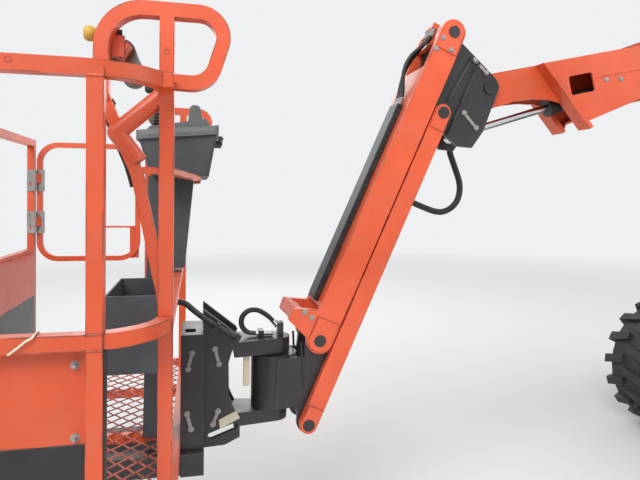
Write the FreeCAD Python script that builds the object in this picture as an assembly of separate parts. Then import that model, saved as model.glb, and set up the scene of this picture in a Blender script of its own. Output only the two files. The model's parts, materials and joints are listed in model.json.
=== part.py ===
import FreeCAD, Part
import math
import os

# Articulating boom lift, full size, in millimetres.
# X runs forward from the chassis to the platform, Y to the machine's left, Z up.
# The pieces are placed from the slewing axis on the ground, and the whole is then
# moved back by MIDDLE_X, so that the origin lies under the middle of the machine.

# Wheels and chassis
WHEELBASE = 2000.0
WHEEL_CENTRE_Y = 1000.0
TYRE_RADIUS = 420.0
TYRE_WIDTH = 310.0
LUG_HEIGHT = 24.0
LUG_HALF_LENGTH = 44.0
LUGS_PER_ROW = 17
RIM_RADIUS = 212.0
RIM_SHARE = 0.62
KINGPIN_Y = 790.0
KINGPIN_RADIUS = 24.0
AXLE_RADIUS = 75.0
FRAME_HALF_WIDTH = 330.0
FRAME_BOTTOM_Z = 420.0
FRAME_TOP_Z = 640.0
TIE_DOWN_RADIUS = 17.0

# Turntable and its covers
SLEW_RING_RADIUS = 360.0
SLEW_RING_HEIGHT = 59.7
DECK_BOTTOM_Z = 700.0
DECK_THICKNESS = 50.0
TAIL_RADIUS = 1165.0
TOWER_CHEEK_Y = 122.0
CHEEK_THICKNESS = 20.0
HOOD_INNER_Y = 250.0
HOOD_OUTER_Y = 1120.0
HOOD_BACK_X = -700.0
HOOD_FRONT_X = 820.0
HOOD_TOP_Z = 1480.0
HOOD_BOTTOM_Z = 855.0
DECK_RADIUS = 958.0
TYRE_CLEAR_Z = 850.0
HOOD_WALL = 8.0
LOUVRE_WIDTH = 150.0

# Tower: two riser arms, one over the other, each with a pair of levelling links
TOWER_FOOT_X = -950.0
TOWER_FOOT_Z = 900.0
RISER_LENGTH = 2100.0
RISER_ANGLE = 10.08
RISER_LOWEST = 4.0
RISER_DEPTH = 180.0
RISER_WIDTH = 200.0
TOWER_CYLINDER_ALONG = 400.0
TOWER_CYLINDER_OFFSET = 140.0
TOWER_EYE_BACK = 200.0
TOWER_EYE_BELOW = 160.0
LINK_OFFSET_X = -89.0
LINK_OFFSET_Z = 133.0
LINK_DEPTH = 60.0
MID_UPRIGHT_RISE = 390.0
TOP_UPRIGHT_RISE = 760.0

# Main boom and fly boom
BOOM_DROP = 12.8
MAIN_BOOM_DEPTH = 232.0
MAIN_BOOM_WIDTH = 212.0
BOOM_WALL = 8.0
PAD_THICKNESS = 7.7
PAD_LENGTH = 200.0
LIFT_ALONG = 1200.0
LIFT_BELOW = 170.0
MAIN_BOOM_END = 3250.0
FLY_DEPTH = 200.0
FLY_WIDTH = 180.0
FLY_START = 250.0
FLY_NOSE_PIN = 4046.7
LEVEL_FOOT_BACK = 847.0
LEVEL_FOOT_BELOW = 71.4
FLY_NOSE_RISE = 43.9
NECK_HALF_WIDTH = 65.0

# Nose bracket and jib, pins measured from the fly boom's nose pin
BRACKET_INNER_Y = 70.0
BRACKET_OUTER_Y = 88.0
JIB_INNER_Y = 92.0
JIB_OUTER_Y = 120.0
JIB_TOP_PIN = (169.0, 193.0)
LEVEL_ROD_PIN = (112.0, -183.0)
JIB_LENGTH = 1243.0
JIB_DROP = 66.3
JIB_LINK_PIN = (38.0, -302.0)
JIB_ARM_DEPTH = 96.0
JIB_LINK_DEPTH = 64.0
JIB_EYE_BACK = 190.0
JIB_EYE_BELOW = 14.0
JIB_EYE_HALF_WIDTH = 35.0
JIB_WEB_THICKNESS = 8.0
JIB_WEB_START = 160.0
JIB_WEB_SHORT = 110.0
TRAY_START = 318.0
TRAY_SHORT = 120.0
TRAY_HEIGHT = 24.0
PIN_RADIUS = 22.0
PIN_CLEARANCE = 0.1

# Rotator and platform
ROTATOR_FORWARD = 150.0
ROTATOR_RADIUS = 84.0
PLATFORM_BACK_FORWARD = 485.0
PLATFORM_DEPTH = 754.0
PLATFORM_WIDTH = 1834.0
FLOOR_BELOW_PIN = 323.0
RAIL_HEIGHT = 1100.0
MID_RAIL_HEIGHT = 554.0
FLOOR_THICKNESS = 6.0
JOISTS = 3
SEAT = 0.3
TUBE = 32.0
CORNER_RADIUS = 150.0
PANEL_BOTTOM = 345.0
SHEET = 4.0
HOOP_RISE = 148.0
BAR_FORWARD = 106.0
BAR_RISE = 67.0
SLEEVE_LENGTH = 300.0
CONSOLE_DEPTH = 134.0
HOOP_BEND = 90.0
NEAR_POST = 125.0
CONSOLE_ABOVE_FLOOR = 1035.8
CONSOLE_SLOPE = 24.0
LID_THICKNESS = 31.0
TRAY_ABOVE_FLOOR = 334.0

# Hoses
NOSE_HOSE_RADIUS = 13.0
NOSE_HOSE_END = (264.0, -427.8)
TOP_HOSE_RADIUS = 7.5
LOOP_HOSE_RADIUS = 5.5
CONDUIT_RADIUS = 10.0


def vec(x, y, z):
    return FreeCAD.Vector(x, y, z)


def box(x0, x1, y0, y1, z0, z1):
    return Part.makeBox(x1 - x0, y1 - y0, z1 - z0, vec(x0, y0, z0))


def pair_y(y0, y1, make):
    """The same piece on both sides of the middle plane, as a list of two solids."""
    return [make(y0, y1), make(-y1, -y0)]


def joined(shapes):
    first, rest = shapes[0], shapes[1:]
    return first.fuse(rest).removeSplitter() if rest else first


def rod_between(start, end, radius):
    return Part.makeCylinder(radius, (end - start).Length, start, end - start)


def pin_y(x, z, radius, y0, y1):
    return Part.makeCylinder(radius, y1 - y0, vec(x, y0, z), vec(0, 1, 0))


def pin_z(x, y, radius, z0, z1):
    return Part.makeCylinder(radius, z1 - z0, vec(x, y, z0), vec(0, 0, 1))


def turned(shape, x, z, angle):
    """Turn a shape made along +X at the origin up by angle, then set it at x, z."""
    copy = shape.copy()
    copy.rotate(vec(0, 0, 0), vec(0, -1, 0), angle)
    copy.translate(vec(x, 0, z))
    return copy


def offset_point(x, z, angle, along, up):
    """A point given along and square to a direction that rises by angle."""
    c = math.cos(math.radians(angle))
    s = math.sin(math.radians(angle))
    return x + along * c - up * s, z + along * s + up * c


def polygon_y(points, y0, y1):
    """A flat plate with corners x, z, between y0 and y1."""
    corners = [vec(x, y0, z) for x, z in points]
    return Part.Face(Part.makePolygon(corners + corners[:1])).extrude(vec(0, y1 - y0, 0))


def hull_edges(circles, at):
    """Straight tangents and arcs round a convex row of circles u, v, r, anticlockwise."""
    tangents = []
    for i, (u0, v0, r0) in enumerate(circles):
        u1, v1, r1 = circles[(i + 1) % len(circles)]
        run = math.hypot(u1 - u0, v1 - v0)
        angle = math.atan2(v1 - v0, u1 - u0) - math.acos((r0 - r1) / run)
        c, s = math.cos(angle), math.sin(angle)
        tangents.append((angle, (u0 + r0 * c, v0 + r0 * s), (u1 + r1 * c, v1 + r1 * s)))
    edges = []
    for i, (u, v, r) in enumerate(circles):
        before, _, arrive = tangents[i - 1]
        after, leave, reach = tangents[i]
        if r > 0:
            middle = before + ((after - before) % (2 * math.pi)) / 2
            top = (u + r * math.cos(middle), v + r * math.sin(middle))
            edges.append(Part.Arc(at(*arrive), at(*top), at(*leave)).toShape())
        edges.append(Part.LineSegment(at(*leave), at(*reach)).toShape())
    return edges


def hull_y(circles, y0, y1):
    """A plate with round corners, x, z, r, between y0 and y1."""
    edges = hull_edges(circles, lambda x, z: vec(x, y0, z))
    return Part.Face(Part.Wire(edges)).extrude(vec(0, y1 - y0, 0))


def hull_z(circles, z0, z1):
    """A plate with round corners, x, y, r, between z0 and z1."""
    edges = hull_edges(circles, lambda x, y: vec(x, y, z0))
    return Part.Face(Part.Wire(edges)).extrude(vec(0, 0, z1 - z0))


def side_edges(points, bend, shift, closed, at):
    """Edges of a bent centre line moved sideways by shift, to the left of its run."""
    count = len(points)
    runs = []
    for i in range(count if closed else count - 1):
        (u0, v0), (u1, v1) = points[i], points[(i + 1) % count]
        length = math.hypot(u1 - u0, v1 - v0)
        runs.append(((u1 - u0) / length, (v1 - v0) / length))
    starts = [None] * count
    ends = [None] * count
    arcs = [None] * count
    for i in range(count):
        u, v = points[i]
        if not closed and i in (0, count - 1):
            du, dv = runs[0] if i == 0 else runs[-1]
            starts[i] = ends[i] = (u - dv * shift, v + du * shift)
            continue
        (au, av), (bu, bv) = runs[i - 1], runs[i]
        turn = math.atan2(au * bv - av * bu, au * bu + av * bv)
        side = 1.0 if turn > 0 else -1.0
        back = bend * math.tan(abs(turn) / 2)
        cu = u - au * back - av * bend * side
        cv = v - av * back + au * bend * side
        radius = bend - shift * side
        p0 = (cu + av * radius * side, cv - au * radius * side)
        p1 = (cu + bv * radius * side, cv - bu * radius * side)
        mu, mv = av + bv, -(au + bu)
        size = math.hypot(mu, mv)
        middle = (cu + mu / size * radius * side, cv + mv / size * radius * side)
        ends[i], starts[i], arcs[i] = p0, p1, (p0, middle, p1)
    edges = []
    for i in range(len(runs)):
        j = (i + 1) % count
        edges.append(Part.LineSegment(at(*starts[i]), at(*ends[j])).toShape())
        if arcs[j]:
            edges.append(Part.Arc(*[at(*p) for p in arcs[j]]).toShape())
    return edges, starts[0], ends[-1]


def bent_bar(points, bend, width, at, across, closed=False):
    """A square bar of that width along a bent line in a plane; across is its thickness vector."""
    half = width / 2
    left, left_start, left_end = side_edges(points, bend, half, closed, at)
    right, right_start, right_end = side_edges(points, bend, -half, closed, at)
    if closed:
        wires = [Part.Wire(Part.__sortEdges__(left)), Part.Wire(Part.__sortEdges__(right))]
        wires.sort(key=lambda w: w.BoundBox.DiagonalLength)
        face = Part.Face(wires[1]).cut(Part.Face(wires[0]))
    else:
        caps = [Part.LineSegment(at(*left_start), at(*right_start)).toShape(),
                Part.LineSegment(at(*left_end), at(*right_end)).toShape()]
        face = Part.Face(Part.Wire(Part.__sortEdges__(left + right + caps)))
    bar = face.extrude(across)
    bar.translate(across * -0.5)
    return bar


def bar_xz(points, y, bend=60.0, size=TUBE, closed=False):
    return bent_bar(points, bend, size, lambda u, v: vec(u, y, v), vec(0, size, 0), closed)


def bar_xy(points, z, bend=60.0, size=TUBE, closed=False):
    return bent_bar(points, bend, size, lambda u, v: vec(u, v, z), vec(0, 0, size), closed)


def bar_yz(points, x, bend=60.0, size=TUBE, closed=False):
    return bent_bar(points, bend, size, lambda u, v: vec(x, u, v), vec(size, 0, 0), closed)


def rounded_edges(shape, radius, pick):
    """Round the edges that pick says yes to."""
    edges = [e for e in shape.Edges if pick(e)]
    return shape.makeFillet(radius, edges)


def along_axis(edge, axis):
    """Whether a straight edge runs along a row axis, 0, 1 or 2 for X, Y or Z."""
    ends = [v.Point for v in edge.Vertexes]
    if len(ends) != 2:
        return False
    step = ends[1] - ends[0]
    return abs(abs(step[axis]) - step.Length) < 1e-6 and abs(edge.Length - step.Length) < 1e-6


# Places worked out from the driving dimensions, from the slewing axis on the ground
FRONT_AXLE_X = WHEELBASE / 2
REAR_AXLE_X = -WHEELBASE / 2
DECK_TOP_Z = DECK_BOTTOM_Z + DECK_THICKNESS
RISE = RISER_LENGTH * math.sin(math.radians(RISER_ANGLE))
RUN = RISER_LENGTH * math.cos(math.radians(RISER_ANGLE))
MID_LOW = (TOWER_FOOT_X + RUN, TOWER_FOOT_Z + RISE)
MID_HIGH = (MID_LOW[0], MID_LOW[1] + MID_UPRIGHT_RISE)
TOP_LOW = (MID_HIGH[0] - RUN, MID_HIGH[1] + RISE)
BOOM_FOOT = (TOP_LOW[0], TOP_LOW[1] + TOP_UPRIGHT_RISE)
NOSE = offset_point(BOOM_FOOT[0], BOOM_FOOT[1], -BOOM_DROP, FLY_NOSE_PIN, FLY_NOSE_RISE)
LEVEL_PIN = (NOSE[0] + LEVEL_ROD_PIN[0], NOSE[1] + LEVEL_ROD_PIN[1])
JIB_A = (NOSE[0] + JIB_TOP_PIN[0], NOSE[1] + JIB_TOP_PIN[1])
JIB_B = (JIB_A[0] + JIB_LINK_PIN[0], JIB_A[1] + JIB_LINK_PIN[1])
JIB_C = offset_point(JIB_A[0], JIB_A[1], -JIB_DROP, JIB_LENGTH, 0)
JIB_D = (JIB_C[0] + JIB_LINK_PIN[0], JIB_C[1] + JIB_LINK_PIN[1])
ROTATOR_X = JIB_C[0] + ROTATOR_FORWARD
BACK_X = JIB_C[0] + PLATFORM_BACK_FORWARD
FRONT_X = BACK_X + PLATFORM_DEPTH
HALF_Y = PLATFORM_WIDTH / 2
FLOOR_Z = JIB_C[1] - FLOOR_BELOW_PIN
RAIL_Z = FLOOR_Z + RAIL_HEIGHT
MIDDLE_X = (FRONT_X + REAR_AXLE_X - TYRE_RADIUS) / 2

# Cylinder pins: foot and rod eye of each, in x, z
LEVEL_FOOT = offset_point(BOOM_FOOT[0], BOOM_FOOT[1], -BOOM_DROP, FLY_NOSE_PIN - LEVEL_FOOT_BACK,
                          FLY_NOSE_RISE - LEVEL_FOOT_BELOW)
LIFT_FOOT = (BOOM_FOOT[0] + 120.0, BOOM_FOOT[1] - 600.0)
LIFT_EYE = offset_point(BOOM_FOOT[0], BOOM_FOOT[1], -BOOM_DROP, LIFT_ALONG, -LIFT_BELOW)
TOWER_CYL_FOOT = offset_point(TOWER_FOOT_X, TOWER_FOOT_Z, RISER_ANGLE, TOWER_CYLINDER_ALONG, TOWER_CYLINDER_OFFSET)
TOWER_CYL_EYE = offset_point(MID_HIGH[0], MID_HIGH[1], -RISER_ANGLE, -TOWER_EYE_BACK, -TOWER_EYE_BELOW)
JIB_CYL_FOOT = JIB_B
JIB_CYL_EYE = offset_point(JIB_A[0], JIB_A[1], -JIB_DROP, JIB_LENGTH - JIB_EYE_BACK, -JIB_EYE_BELOW)
CONSOLE_TOP_Z = FLOOR_Z + CONSOLE_ABOVE_FLOOR

NODES = {}


def keep(name, shapes):
    """Store one named sub-part, made of one or more solids that don't touch."""
    shapes = shapes if isinstance(shapes, list) else [shapes]
    NODES[name] = shapes[0] if len(shapes) == 1 else Part.makeCompound(shapes)


def hose(points, radius):
    """A round hose along straight runs joined by tangent arcs, each as large as its two runs allow."""
    points = [vec(*p) for p in points]
    edges = []
    pieces = []
    start = points[0]
    for before, corner, after in zip(points, points[1:], points[2:]):
        arrive, leave = corner - before, after - corner
        half_turn = arrive.getAngle(leave) / 2
        shorter = min(arrive.Length, leave.Length)
        reach = 0.45 * shorter
        bend = reach / math.tan(half_turn)
        arrive.normalize()
        leave.normalize()
        first, last = corner - arrive * reach, corner + leave * reach
        inward = leave - arrive
        inward.normalize()
        middle = corner + inward * (bend / math.cos(half_turn) - bend)
        edges.append(Part.LineSegment(start, first).toShape())
        edges.append(Part.Arc(first, middle, last).toShape())
        pieces.append(rod_between(start, first, radius))
        disc = Part.Face(Part.Wire(Part.makeCircle(radius, first, arrive)))
        centre = corner + inward * (bend / math.cos(half_turn))
        pieces.append(disc.revolve(centre, arrive.cross(leave), math.degrees(2 * half_turn)))
        start = last
        print("hose radius %.1f, bend %.0f, turn %.0f" % (radius, bend, math.degrees(2 * half_turn)))
    edges.append(Part.LineSegment(start, points[-1]).toShape())
    pieces.append(rod_between(start, points[-1], radius))
    path = Part.Wire(edges)
    tube = joined(pieces)
    print("hose volume over section times length %.4f" % (tube.Volume / (math.pi * radius ** 2 * path.Length)))
    return tube


def lug(side):
    """One tread lug at the top of the tyre: a bar that slants from the middle out to the shoulder."""
    half_step = math.pi / LUGS_PER_ROW
    top = (TYRE_RADIUS - LUG_HALF_LENGTH * math.sin(half_step)) / math.cos(half_step)
    bottom = TYRE_RADIUS - LUG_HEIGHT - 42.0
    reach = TYRE_WIDTH / 2 - 4.0
    n = LUG_HALF_LENGTH
    outline = [(-n, 8.0), (4.0, 8.0), (n, reach), (-12.0, reach)]
    corners = [vec(x, y * side, bottom) for x, y in outline]
    face = Part.Face(Part.makePolygon(corners + corners[:1]))
    return face.extrude(vec(0, 0, top - bottom))


def faceted_ring(section, sides):
    """A ring about Y with flat facets: section holds radius, y pairs, in order round it."""
    rows = []
    for radius, y in section:
        step = 2 * math.pi / sides
        rows.append([vec(radius * math.sin(step * (i + 0.5)), y, radius * math.cos(step * (i + 0.5)))
                     for i in range(sides)])
    faces = []
    for j in range(len(rows)):
        inner, outer = rows[j - 1], rows[j]
        for i in range(sides):
            corners = [inner[i - 1], inner[i], outer[i], outer[i - 1]]
            faces.append(Part.Face(Part.makePolygon(corners + corners[:1])))
    solid = Part.Solid(Part.Shell(faces))
    if solid.Volume < 0:
        solid.reverse()
    return solid


def tyre_shape():
    """A tyre about the Y axis: one flat facet behind each lug, in two staggered rows."""
    half = TYRE_WIDTH / 2
    tread = TYRE_RADIUS - LUG_HEIGHT
    section = [(RIM_RADIUS, -half * RIM_SHARE), (RIM_RADIUS + 90.0, -half), (tread, -half * 0.74),
               (tread, half * 0.74), (RIM_RADIUS + 90.0, half), (RIM_RADIUS, half * RIM_SHARE)]
    body = faceted_ring(section, 2 * LUGS_PER_ROW)
    lugs = []
    for row, side in enumerate((-1, 1)):
        for i in range(LUGS_PER_ROW):
            one = lug(side)
            one.rotate(vec(0, 0, 0), vec(0, 1, 0), 360.0 / LUGS_PER_ROW * (i + 0.5 * row))
            lugs.append(one)
    return body.fuse(lugs)


def rim_shape(outer):
    """A dished steel wheel about Y, with its bolt face towards outer, 1 or -1."""
    half = TYRE_WIDTH / 2 * RIM_SHARE
    r = RIM_RADIUS - 0.3
    section = [(r, -half), (r, half), (r - 16.0, half), (r - 46.0, half - 62.0), (70.0, half - 62.0),
               (70.0, half - 74.0), (r - 46.0, half - 74.0), (r - 16.0, -half)]
    dish = faceted_ring([(radius, y * outer) for radius, y in section], 2 * LUGS_PER_ROW)
    hub_face = (half - 74.0) * outer
    hub = Part.makeCylinder(95.0, 22.0, vec(0, hub_face, 0), vec(0, outer, 0))
    cap = Part.makeCone(62.0, 48.0, 34.0, vec(0, hub_face + 22.0 * outer, 0), vec(0, outer, 0))
    return dish.fuse([hub, cap])


def make_wheels():
    tyre = tyre_shape()
    for name, x, side in (("front_left", FRONT_AXLE_X, 1), ("front_right", FRONT_AXLE_X, -1),
                          ("rear_left", REAR_AXLE_X, 1), ("rear_right", REAR_AXLE_X, -1)):
        centre = vec(x, WHEEL_CENTRE_Y * side, TYRE_RADIUS)
        for kind, shape in (("tyre", tyre), ("rim", rim_shape(side))):
            piece = shape.copy()
            piece.translate(centre)
            keep(kind + "_" + name, piece)


def make_chassis():
    """Welded box frame with tapered ends, and the two beam axles."""
    w = FRAME_HALF_WIDTH
    middle = hull_z([(-620, -w + 60, 60), (620, -w + 60, 60), (620, w - 60, 60), (-620, w - 60, 60)],
                    FRAME_BOTTOM_Z, FRAME_TOP_Z)
    tail = polygon_y([(-1180, 560), (-1180, 640), (-600, 640), (-600, 430), (-880, 500)], -200, 200)
    head = polygon_y([(1180, 560), (880, 500), (600, 430), (600, 640), (1180, 640)], -200, 200)
    pads = [box(x - 90, x + 90, -170, 170, TYRE_RADIUS + AXLE_RADIUS, 600) for x in (FRONT_AXLE_X, REAR_AXLE_X)]
    frame = joined([middle, tail, head] + pads)
    axle_cuts = [Part.makeCylinder(AXLE_RADIUS + 0.3, 500, vec(x, -250, TYRE_RADIUS), vec(0, 1, 0))
                 for x in (FRONT_AXLE_X, REAR_AXLE_X)]
    for x, s in ((1180, 1), (-1180, -1)):
        for y in (-190, 190):
            ear = hull_y([(x + 34 * s, 600, 30), (x - 30 * s, 625, 5), (x - 30 * s, 575, 5)][::s], y - 10, y + 10)
            frame = frame.fuse(ear)
            axle_cuts.append(pin_y(x + 34 * s, 600, TIE_DOWN_RADIUS, y - 20, y + 20))
    keep("chassis_frame", frame.removeSplitter().cut(axle_cuts))
    keep("slew_ring", Part.makeCylinder(SLEW_RING_RADIUS, SLEW_RING_HEIGHT, vec(0, 0, FRAME_TOP_Z)))
    z = TYRE_RADIUS
    reach = WHEEL_CENTRE_Y - 65.0
    beam = Part.makeCylinder(AXLE_RADIUS, 2 * reach, vec(FRONT_AXLE_X, -reach, z), vec(0, 1, 0))
    case = hull_y([(FRONT_AXLE_X - 40, z - 20, 90), (FRONT_AXLE_X + 40, z - 20, 90)], 40, 200)
    flanges = [Part.makeCylinder(105, 30, vec(FRONT_AXLE_X, y, z), vec(0, 1, 0)) for y in (-830, 800)]
    keep("drive_axle", joined([beam, case] + flanges))
    reach = KINGPIN_Y - 100.0
    beam = Part.makeCylinder(AXLE_RADIUS, 2 * reach, vec(REAR_AXLE_X, -reach, z), vec(0, 1, 0))
    yokes = []
    for side in (-1, 1):
        y0, y1 = sorted((side * (reach - 10), side * (KINGPIN_Y + 38)))
        block = box(REAR_AXLE_X - 40, REAR_AXLE_X + 40, y0, y1, z - 105, z + 105)
        gap = box(REAR_AXLE_X - 60, REAR_AXLE_X + 60, *sorted((side * (reach + 18), side * (KINGPIN_Y + 60))),
                  z - 70, z + 70)
        yokes.append(block.cut(gap))
    beam = joined([beam] + yokes)
    pins = [pin_z(REAR_AXLE_X, side * KINGPIN_Y, KINGPIN_RADIUS, z - 106, z + 106) for side in (-1, 1)]
    keep("steer_axle", joined([beam] + pins))


def make_knuckles():
    """Steering knuckles that carry the tail wheels, each with its steering arm."""
    z = TYRE_RADIUS
    for name, side in (("left", 1), ("right", -1)):
        y = side * KINGPIN_Y
        boss = pin_z(REAR_AXLE_X, y, 42.0, z - 64, z + 64)
        spindle = rod_between(vec(REAR_AXLE_X, y, z), vec(REAR_AXLE_X, side * (WHEEL_CENTRE_Y + 20), z), 44.0)
        flange = rod_between(vec(REAR_AXLE_X, side * (KINGPIN_Y + 62), z),
                             vec(REAR_AXLE_X, side * (KINGPIN_Y + 84), z), 92.0)
        arm = hull_z([(REAR_AXLE_X + 190, y - side * 22, 24), (REAR_AXLE_X, y + 30, 10),
                      (REAR_AXLE_X, y - 30, 10)], z - 62, z - 40)
        bore = pin_z(REAR_AXLE_X, y, KINGPIN_RADIUS + PIN_CLEARANCE, z - 120, z + 120)
        keep("knuckle_" + name, joined([boss, spindle, flange, arm]).cut(bore))


def make_steering_rod():
    """Through rod of the steering cylinder, with eyes over the steering arms, and its barrel on the axle."""
    z = TYRE_RADIUS - 22.0
    x = REAR_AXLE_X + 190
    eye_y = KINGPIN_Y - 22
    rod = rod_between(vec(x, -eye_y + 12, z), vec(x, eye_y - 12, z), 11.0)
    eyes = [pin_z(x, s * eye_y, 18.0, z - 11, z + 11) for s in (-1, 1)]
    keep("steering_rod", joined([rod] + eyes))
    barrel = rod_between(vec(x, -230, z), vec(x, 230, z), 32.0)
    mounts = [box(REAR_AXLE_X + 40, x, y - 12, y + 12, z - 20, z + 20) for y in (-180, 180)]
    bore = rod_between(vec(x, -300, z), vec(x, 300, z), 11.0 + PIN_CLEARANCE)
    steering = joined([NODES["steer_axle"], barrel] + mounts).cut(bore)
    NODES["steer_axle"] = steering


def make_turntable():
    """Deck with the cheeks that carry the tower foot, covers, engine, tank and tail weight."""
    deck = hull_z([(-600, -640, 80), (600, -620, 95), (600, 620, 95), (-600, 640, 80)], DECK_BOTTOM_Z, DECK_TOP_Z)
    fx, fz = TOWER_FOOT_X, TOWER_FOOT_Z
    lx, lz = fx + LINK_OFFSET_X, fz + LINK_OFFSET_Z
    cheeks = pair_y(TOWER_CHEEK_Y, TOWER_CHEEK_Y + CHEEK_THICKNESS, lambda y0, y1: hull_y(
        [(-920, DECK_BOTTOM_Z + 20, 20), (-500, DECK_BOTTOM_Z + 20, 20), (fx + 70, fz + 60, 80), (lx, lz, 45)],
        y0, y1))
    floor = box(-930, -480, -TOWER_CHEEK_Y - CHEEK_THICKNESS, TOWER_CHEEK_Y + CHEEK_THICKNESS,
                DECK_BOTTOM_Z, DECK_TOP_Z)
    deck = joined([deck, floor] + cheeks)
    reach = TOWER_CHEEK_Y + CHEEK_THICKNESS + 8
    pins = [pin_y(fx, fz, 30.0, -reach, reach), pin_y(lx, lz, 20.0, -reach, reach)]
    keep("turntable_frame", joined([deck] + pins))
    weight = joined([pin_z(0, 0, TAIL_RADIUS, TYRE_CLEAR_Z, 1300.0),
                     pin_z(0, 0, DECK_RADIUS, DECK_TOP_Z + SEAT, TYRE_CLEAR_Z)])
    slot = box(-TAIL_RADIUS - 20, HOOD_BACK_X, -TOWER_CHEEK_Y - 60, TOWER_CHEEK_Y + 60, DECK_BOTTOM_Z, 1400)
    sides = weight.common(box(-TAIL_RADIUS - 10, HOOD_BACK_X - 60, -1000, 1000, DECK_BOTTOM_Z, 1400)).cut(slot)
    bridge = box(-TAIL_RADIUS + 16, -TAIL_RADIUS + 53, -TOWER_CHEEK_Y - 60, TOWER_CHEEK_Y + 60, TYRE_CLEAR_Z, 980)
    weight = joined(sides.Solids + [bridge.common(pin_z(0, 0, TAIL_RADIUS, 700, 1400))])
    keep("counterweight", weight)
    keep("engine", box(-400, 200, HOOD_INNER_Y + 90, 880, DECK_TOP_Z + SEAT, 1250))
    keep("fluid_tank", box(-400, 200, -880, -HOOD_INNER_Y - 90, DECK_TOP_Z + SEAT, 1180))
    plate_x = HOOD_FRONT_X + 6
    keep("ground_controls", rounded_edges(box(plate_x + 8.3, plate_x + 100, 280, 520, 900, 1250), 14.0,
                                          lambda e: along_axis(e, 2)))
    arm = [box(600, plate_x + 8, 330, 430, DECK_BOTTOM_Z, DECK_BOTTOM_Z + 30),
           box(plate_x, plate_x + 8, 330, 430, DECK_BOTTOM_Z, 1200)]
    NODES["turntable_frame"] = joined([NODES["turntable_frame"]] + arm)


def hood_shape(side):
    """A moulded cover, open below and on its inner side, hinged at its inner top edge."""
    outer = box(HOOD_BACK_X, HOOD_FRONT_X, HOOD_INNER_Y + 6, HOOD_OUTER_Y, HOOD_BOTTOM_Z, HOOD_TOP_Z)
    outer = rounded_edges(outer, 120.0, lambda e: (along_axis(e, 0) and e.BoundBox.ZMin > HOOD_TOP_Z - 1
                                                   and e.BoundBox.YMin > HOOD_OUTER_Y - 1)
                          or (along_axis(e, 2) and e.BoundBox.YMin > HOOD_OUTER_Y - 1))
    inner = box(HOOD_BACK_X + HOOD_WALL, HOOD_FRONT_X - HOOD_WALL, HOOD_INNER_Y - 1,
                HOOD_OUTER_Y - HOOD_WALL, DECK_TOP_Z, HOOD_TOP_Z - HOOD_WALL)
    inner = rounded_edges(inner, 112.0, lambda e: (along_axis(e, 0) and e.BoundBox.ZMin > HOOD_TOP_Z - 10
                                                   and e.BoundBox.YMin > HOOD_OUTER_Y - 10)
                          or (along_axis(e, 2) and e.BoundBox.YMin > HOOD_OUTER_Y - 10))
    slots = [box(x, x + LOUVRE_WIDTH, HOOD_OUTER_Y - 30, HOOD_OUTER_Y + 10, z, z + 14)
             for x in (HOOD_BACK_X + 160 + LOUVRE_WIDTH * 1.5 * i for i in range(4))
             for z in (HOOD_TOP_Z - 260 - 44 * k for k in range(6))]
    shell = outer.cut([inner] + slots)
    handle = box(HOOD_FRONT_X - 330, HOOD_FRONT_X - 180, HOOD_OUTER_Y - 20, HOOD_OUTER_Y + 10,
                 HOOD_BOTTOM_Z + 110, HOOD_BOTTOM_Z + 160)
    cup = box(HOOD_FRONT_X - 340, HOOD_FRONT_X - 170, HOOD_OUTER_Y - 34, HOOD_OUTER_Y - HOOD_WALL / 2,
              HOOD_BOTTOM_Z + 100, HOOD_BOTTOM_Z + 170)
    grip = rod_between(vec(HOOD_FRONT_X - 330, HOOD_OUTER_Y - 10, HOOD_BOTTOM_Z + 135),
                       vec(HOOD_FRONT_X - 180, HOOD_OUTER_Y - 10, HOOD_BOTTOM_Z + 135), 7.0)
    shell = joined([joined([shell, cup]).cut(handle), grip])
    tube = rod_between(vec(HOOD_BACK_X + 60, HOOD_INNER_Y - 16, HOOD_TOP_Z - 20),
                       vec(HOOD_FRONT_X - 60, HOOD_INNER_Y - 16, HOOD_TOP_Z - 20), 12.0)
    straps = [box(x, x + 60, HOOD_INNER_Y - 16, HOOD_INNER_Y + 40, HOOD_TOP_Z - 14, HOOD_TOP_Z - 6)
              for x in (HOOD_BACK_X + 120, HOOD_FRONT_X - 180)]
    shape = joined([shell, tube] + straps)
    return shape if side > 0 else shape.mirror(vec(0, 0, 0), vec(0, 1, 0))


def make_hoods():
    for name, side in (("left", 1), ("right", -1)):
        keep("hood_" + name, hood_shape(side))
        posts = []
        for x in (HOOD_BACK_X + 30, HOOD_FRONT_X - 56):
            y0, y1 = sorted((side * (HOOD_INNER_Y - 34), side * (HOOD_INNER_Y + 2)))
            post = joined([box(x, x + 24, y0, y1, DECK_TOP_Z, HOOD_TOP_Z - 20),
                           rod_between(vec(x, side * (HOOD_INNER_Y - 16), HOOD_TOP_Z - 20),
                                       vec(x + 24, side * (HOOD_INNER_Y - 16), HOOD_TOP_Z - 20), 18.0)])
            bore = rod_between(vec(x - 10, side * (HOOD_INNER_Y - 16), HOOD_TOP_Z - 20),
                               vec(x + 40, side * (HOOD_INNER_Y - 16), HOOD_TOP_Z - 20), 12.0 + PIN_CLEARANCE)
            posts.append(post.cut(bore))
        y0, y1 = sorted((side * (HOOD_INNER_Y - 14), side * (HOOD_INNER_Y - 6)))
        wall = box(HOOD_BACK_X + 30, HOOD_FRONT_X - 32, y0, y1, DECK_TOP_Z, HOOD_TOP_Z - 90)
        NODES["turntable_frame"] = joined([NODES["turntable_frame"], wall] + posts)


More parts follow.
